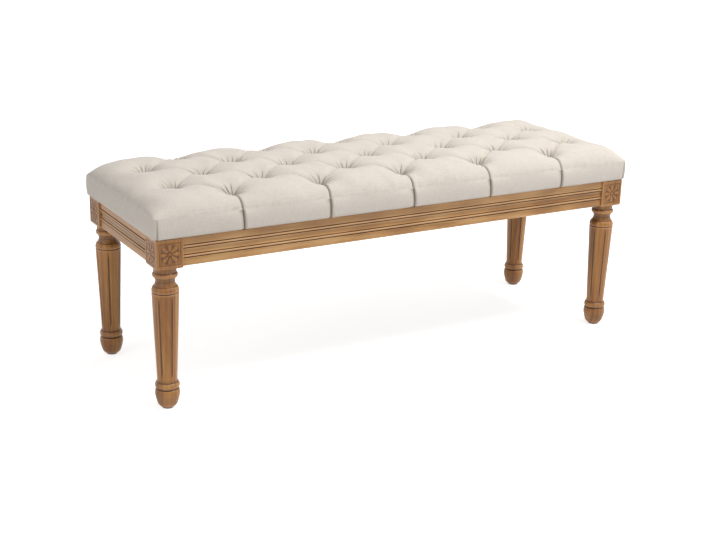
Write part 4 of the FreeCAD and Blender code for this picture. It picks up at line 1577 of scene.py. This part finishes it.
@dataclass
class BeadedRail:
    """A rail: one moulded section run between two leg blocks.

    The face has two beads, each between narrow quirks, and a shallow hollow
    between them.
    """

    low: float = 309.5
    high: float = 370.0
    thickness: float = 22.0
    bead_from_middle: float = 10.0
    bead_half_width: float = 2.1
    bead_rise: float = 1.4
    quirk_width: float = 1.9
    quirk_depth: float = 2.2
    hollow_depth: float = 1.4
    soft_edge: float = 2.0
    half_length_x: float = 537.6
    half_length_y: float = 139.6
    face_x: float = 591.2
    face_y: float = 193.2
    # How the glaze lies: in the grooves and gathered at the blocks. Painted shade darkens
    # the hollow and the foot of the lower bead, and painted light lightens the upper flat.
    glaze_gain: float = 0.9
    hollow_shade: float = 0.16
    hollow_reach: float = 7.0
    foot_shade: float = 0.22
    foot_below: float = 16.0
    foot_width: float = 2.5
    flat_light: float = 0.22
    flat_above: float = 14.0
    gathered_glaze: float = 0.6
    gathered_reach: float = 2.5
    # Painted shade: the short rails' marks are raised in the grooves and a little everywhere, so
    # that they read darker.
    short_shade_gain: float = 0.9
    short_shade_lift: float = 0.06

    def face(self, level: np.ndarray) -> np.ndarray:
        """How far the face stands out at a level.

        A bead is half an ellipse, a quirk the root of half a sine, and the
        hollow a cosine.

        Args:
            level: The levels.

        Returns:
            The distance out at each.
        """
        off = level - (self.low + self.high) / 2
        stand = np.zeros_like(level)
        room = self.bead_from_middle - self.bead_half_width - self.quirk_width
        inside = np.abs(off) < room
        stand[inside] = -self.hollow_depth * np.cos(off[inside] / room * math.pi / 2)
        for side in (-1, 1):
            gap = np.abs(off - side * self.bead_from_middle)
            bead = gap < self.bead_half_width
            dome = np.sqrt(1 - (gap[bead] / self.bead_half_width) ** 2)
            stand[bead] = self.bead_rise * dome - 0.2
            share = (gap - self.bead_half_width) / self.quirk_width
            quirk = (share >= 0) & (share <= 1)
            stand[quirk] = -self.quirk_depth * np.sqrt(np.sin(share[quirk] * math.pi))
        return stand

    def section(self) -> tuple[np.ndarray, np.ndarray, np.ndarray]:
        """The section's outline, clockwise from the bottom of the face.

        Returns:
            How far each point stands out from the face, its level, and its
            glaze mark, which also carries painted light and painted shade.
        """
        soft, thick = self.soft_edge, self.thickness
        level = np.arange(self.low + soft, self.high - soft + 0.01, 0.3)
        stand = smoothed(self.face(level), 0.8)
        glaze = (smoothed(self.face(level), 7.0) - stand) * self.glaze_gain
        # Painted shade darkens the hollow and the foot of the lower bead, and painted
        # light lightens the upper flat.
        off = level - (self.low + self.high) / 2
        foot = np.exp(-(((off + self.foot_below) / self.foot_width) ** 2))
        glaze += self.hollow_shade * (np.abs(off) < self.hollow_reach) + self.foot_shade * foot
        glaze = np.clip(glaze - self.flat_light * (off > self.flat_above), -1, 1)
        turn = np.linspace(0, math.pi / 2, 6)
        sine, cosine = soft * np.sin(turn), soft * np.cos(turn)
        lower = np.stack([sine - soft, self.low + soft - cosine], 1)
        upper = np.stack([cosine - soft, self.high - soft + sine], 1)
        back = [(1 - thick, self.high), (-thick, self.high - 1), (-thick, self.low + 1)]
        back.append((1 - thick, self.low))
        face = np.stack([stand, level], 1)[1:-1]
        points = np.vstack([lower, face, upper, back])
        edges = np.full(len(lower), -0.4), np.full(len(upper), -0.1)
        marks = np.concatenate([edges[0], glaze[1:-1], edges[1], np.zeros(len(back))])
        return points[:, 0], points[:, 1], marks

    def run(self, half_length: float, face: float) -> tuple[np.ndarray, np.ndarray]:
        """Carry the section along a rail that faces -Y, standing its face out there.

        Args:
            half_length: Half the length between the blocks.
            face: How far out the face lies.

        Returns:
            The rings of points and their glaze marks, which also carry painted light and shade.
        """
        stand, level, marks = self.section()
        near = np.array([0.0, 1.5, 3.0, 6.0, 12.0])
        along = np.concatenate([near - half_length, (half_length - near)[::-1]])
        rings = np.empty((len(along), len(stand), 3))
        rings[..., 0] = along[:, None]
        rings[..., 1] = -(face + stand)[None]
        rings[..., 2] = level[None]
        # Glaze gathers where the rail meets the block.
        to_block = half_length - np.abs(along)
        gathered = self.gathered_glaze * np.exp(-to_block / self.gathered_reach)
        return rings, np.clip(marks[None] + gathered[:, None], -1, 1)

    def build(self) -> None:
        """Build the four rails, each turned to its own side, and dress the cross rail."""
        # Painted light and shade: the long rails get a lighter copy of the wood and the short rails
        # a darker one.
        lit_rail_wood = GlazedHardwood(
            "glazed_wood_painted_light", Grain.ALONG_X, deep="#A06E38", middle="#C28F54", pale="#D6A66C"
        )
        shaded_rail_wood = GlazedHardwood(
            "glazed_wood_painted_shade", Grain.ALONG_Y, deep="#94602E", middle="#B47C40", pale="#C89458"
        )
        for number, name in enumerate(("front", "right", "back", "left")):
            if number % 2 == 0:
                wood = lit_rail_wood
                rings, marks = self.run(self.half_length_x, self.face_y)
            else:
                wood = shaded_rail_wood
                rings, marks = self.run(self.half_length_y, self.face_x)
                # Painted shade: the short rails' marks are raised, most where they are above 0.
                more = 1 + self.short_shade_gain * (marks > 0)
                marks = np.clip(marks * more + self.short_shade_lift, -1, 1)
            rings[..., :2] = spin(rings[..., :2], number * 90)
            skin = Skin(rings, End.FLAT, End.FLAT, marks)
            piece = write_skins(f"beaded_rail_{name}", [skin], 50)
            present(piece, "wood", wood, f"rail_{name}")
        coat(bpy.data.objects["cross_rail"], SawnWood("pine_batten", Grain.ALONG_Y))


# Fittings


@dataclass
class Fittings:
    """The steel that holds the frame together, and the glides under the feet."""

    head_radius: float = 3.8
    head_height: float = 2.2
    recess_depth: float = 1.3
    recess_half_width: float = 0.55
    recess_reach: float = 2.1
    # Where the heads lie on the brackets and on the angles.
    bracket_x: float = 567.2
    bracket_y: float = 169.2
    bracket_screw_x: float = 501.0
    bracket_screw_y: float = 103.0
    bracket_levels: Pair = (328.8, 350.8)
    angle_x: float = 300.0
    angle_level: float = 356.5
    board_screw_x: float = 555.5
    board_screw_y: float = 157.5
    board_level: float = 368.0

    def head(self, middle: Triple, way: Triple) -> Skin:
        """A pan head: a dome turned round its axis, with a cross cut into it.

        Args:
            middle: The middle of the seat of the head.
            way: The direction that the head faces.

        Returns:
            The head's closed skin.
        """
        turn = np.linspace(0, 2 * math.pi, 32, endpoint=False)
        shares = np.array([1.0, 1.0, 0.94, 0.82, 0.66, 0.52, 0.42, 0.3, 0.18, 0.08])
        radius = self.head_radius * shares[:, None]
        height = self.head_height * np.sqrt(np.clip(1 - shares**2.6, 0, 1))
        height[0] = 0.0
        height[1] = self.head_height * 0.25
        height[2:] = np.maximum(height[2:], self.head_height * 0.3)
        across, up = radius * np.cos(turn), radius * np.sin(turn)
        narrow = np.minimum(np.abs(across), np.abs(up))
        cross = (narrow < self.recess_half_width) & (radius < self.recess_reach)
        lift = height[:, None] - self.recess_depth * cross
        side = np.cross(way, [0.0, 0.0, 1.0] if abs(way[2]) < 0.5 else [1.0, 0.0, 0.0])
        frame = np.array([side, np.cross(way, side), way])
        return Skin(middle + np.stack([across, up, lift], axis=-1) @ frame)

    def screws(self) -> None:
        """Build the screws: four in each corner bracket and two in each angle."""
        spots: list[tuple[Triple, Triple]] = []
        for x in (-1.0, 1.0):
            ahead = (-x, 0.0, 0.0)
            for y in (-1.0, 1.0):
                inward = (0.0, -y, 0.0)
                for level in self.bracket_levels:
                    spots.append(((x * self.bracket_screw_x, y * self.bracket_y, level), inward))
                    spots.append(((x * self.bracket_x, y * self.bracket_screw_y, level), ahead))
                angle = x * self.angle_x
                spots.append(((angle, y * self.bracket_y, self.angle_level), inward))
                spots.append(((angle, y * self.board_screw_y, self.board_level), (0.0, 0.0, -1.0)))
            spots.append(((x * self.bracket_x, 0.0, self.angle_level), ahead))
            spots.append(((x * self.board_screw_x, 0.0, self.board_level), (0.0, 0.0, -1.0)))
        piece = write_skins("wood_screws", [self.head(middle, way) for middle, way in spots])
        present(piece, "zinc_steel", ZincSteel("zinc_plate"))

    def build(self) -> None:
        """Build the screws and finish the fittings that stay as CAD nodes."""
        self.screws()
        steel = ZincSteel("zinc_plate")
        names = [f"corner_bracket_{corner.name}" for corner in CORNERS]
        for name in names + ["hanger_bolts", "bolt_nuts", "seat_angles"]:
            coat(bpy.data.objects[name], steel)
        coat(bpy.data.objects["foot_glides"], Moulded("moulded_glide"))


# Studio


@dataclass
class Studio:
    """A plain pale floor, a white backdrop, soft lamps and the camera."""

    floor_half: float = 40.0
    # The floor lies this far below the glides, so that the two don't flicker.
    floor_gap: float = 0.2
    floor_colour: str = "#EDEDED"
    floor_glow: float = 0.72
    sky_level: float = 0.355
    aim: Triple = (0.0, 0.0, 0.35)
    focal_pixels: float = 1318.7
    yaw: float = 30.364
    pitch: float = 18.111
    roll: float = 1.437
    eye: Triple = (-1503.2, -2535.8, 1131.7)

    def seen(self, nodes: Nodes) -> Socket:
        """A result that is 1 for camera, mirror and glass rays, and 0 for others."""
        path = nodes.add("LightPath").outputs
        either = nodes.math("MAXIMUM", path["Is Camera Ray"], path["Is Glossy Ray"])
        return nodes.math("MAXIMUM", either, path["Is Transmission Ray"])

    def floor(self) -> None:
        """Build the floor: flat, white to the camera, and still taking a shadow."""
        far, low = self.floor_half / MM, -self.floor_gap
        corners = [(-far, -far, low), (far, -far, low), (far, far, low), (-far, far, low)]
        piece = write_mesh("floor", np.array(corners), np.array([[0, 1, 2, 3]]), [])
        made = bpy.data.materials.new("pale_floor")
        made.use_nodes = True
        nodes = Nodes(made.node_tree)
        shader = nodes.surface(
            base_color=linear(self.floor_colour),
            roughness=1.0,
            specular_ior_level=0.0,
            emission_color=(1.0, 1.0, 1.0, 1.0),
            emission_strength=nodes.math("MULTIPLY", self.seen(nodes), self.floor_glow),
        )
        # From below, the floor lets the eye through to the underside.
        under = nodes.add("NewGeometry").outputs["Backfacing"]
        clear = nodes.add("BsdfTransparent").outputs[0]
        both = nodes.add("MixShader", {0: under, 1: shader.outputs[0], 2: clear})
        nodes.fill(nodes.tree.nodes["Material Output"], {"Surface": both.outputs[0]})
        piece.data.materials.append(made)

    def sky(self) -> None:
        """Light the room evenly, and show white behind everything."""
        world = bpy.data.worlds.new("studio")
        world.use_nodes = True
        bpy.context.scene.world = world
        nodes = Nodes(world.node_tree)
        level = nodes.span(self.seen(nodes), to_min=self.sky_level, to_max=1.0)
        white = (1.0, 1.0, 1.0, 1.0)
        nodes.fill(nodes.tree.nodes["Background"], {"Color": white, "Strength": level})

    def lamp(self, name: str, place: Triple, size: float, level: float) -> None:
        """Hang a square soft lamp that faces the seat.

        Args:
            name: The lamp's name.
            place: Where it hangs, in metres.
            size: Its side, in metres.
            level: How bright it makes a white surface that faces it, where 1
                is white. The power is that times pi squared times the square
                of the distance.
        """
        light = bpy.data.lights.new(name, "AREA")
        light.size = size
        spot, aim = Vector(place), Vector(self.aim)
        light.energy = level * math.pi**2 * (spot - aim).length_squared
        lamp = bpy.data.objects.new(name, light)
        lamp.location = spot
        lamp.rotation_euler = (aim - spot).to_track_quat("-Z", "Y").to_euler()
        bpy.context.scene.collection.objects.link(lamp)

    def camera(self) -> None:
        """Set the camera where the photograph was taken from."""
        yaw, pitch, roll = (math.radians(turn) for turn in (self.yaw, self.pitch, self.roll))
        ahead = math.cos(pitch)
        forward = Vector((math.sin(yaw) * ahead, math.cos(yaw) * ahead, -math.sin(pitch)))
        right = Vector((math.cos(yaw), -math.sin(yaw), 0.0))
        above = right.cross(forward)
        across = right * math.cos(roll) + above * math.sin(roll)
        upward = above * math.cos(roll) - right * math.sin(roll)
        view = Matrix((across, upward, -forward)).transposed().to_4x4()
        view.translation = Vector(self.eye) * MM
        data = bpy.data.cameras.new("camera")
        data.sensor_fit = "HORIZONTAL"
        data.sensor_width = SENSOR_WIDTH
        data.lens = self.focal_pixels / PHOTO_WIDTH * SENSOR_WIDTH
        data.clip_end = 200.0
        camera = bpy.data.objects.new("camera", data)
        camera.matrix_world = view
        bpy.context.scene.collection.objects.link(camera)
        bpy.context.scene.camera = camera

    def build(self) -> None:
        """Build the studio."""
        bpy.context.scene.view_settings.view_transform = "Standard"
        self.floor()
        self.sky()
        self.lamp("key_lamp", (1.15, -1.2, 3.0), 1.0, 0.68)
        self.lamp("far_lamp", (2.4, 2.2, 2.2), 2.0, 0.10)
        self.lamp("side_lamp", (-2.8, -0.7, 1.3), 1.6, 0.10)
        self.camera()


def main() -> None:
    """Load the frame, build the bench piece by piece, and light it."""
    logging.basicConfig(level=logging.INFO, format="%(name)s %(message)s")
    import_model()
    leg = FlutedLeg()
    for corner in CORNERS:
        leg.build(corner)
    BeadedRail().build()
    Fittings().build()
    TuftedSeat().build()
    Studio().build()


if __name__ == "__main__":
    main()
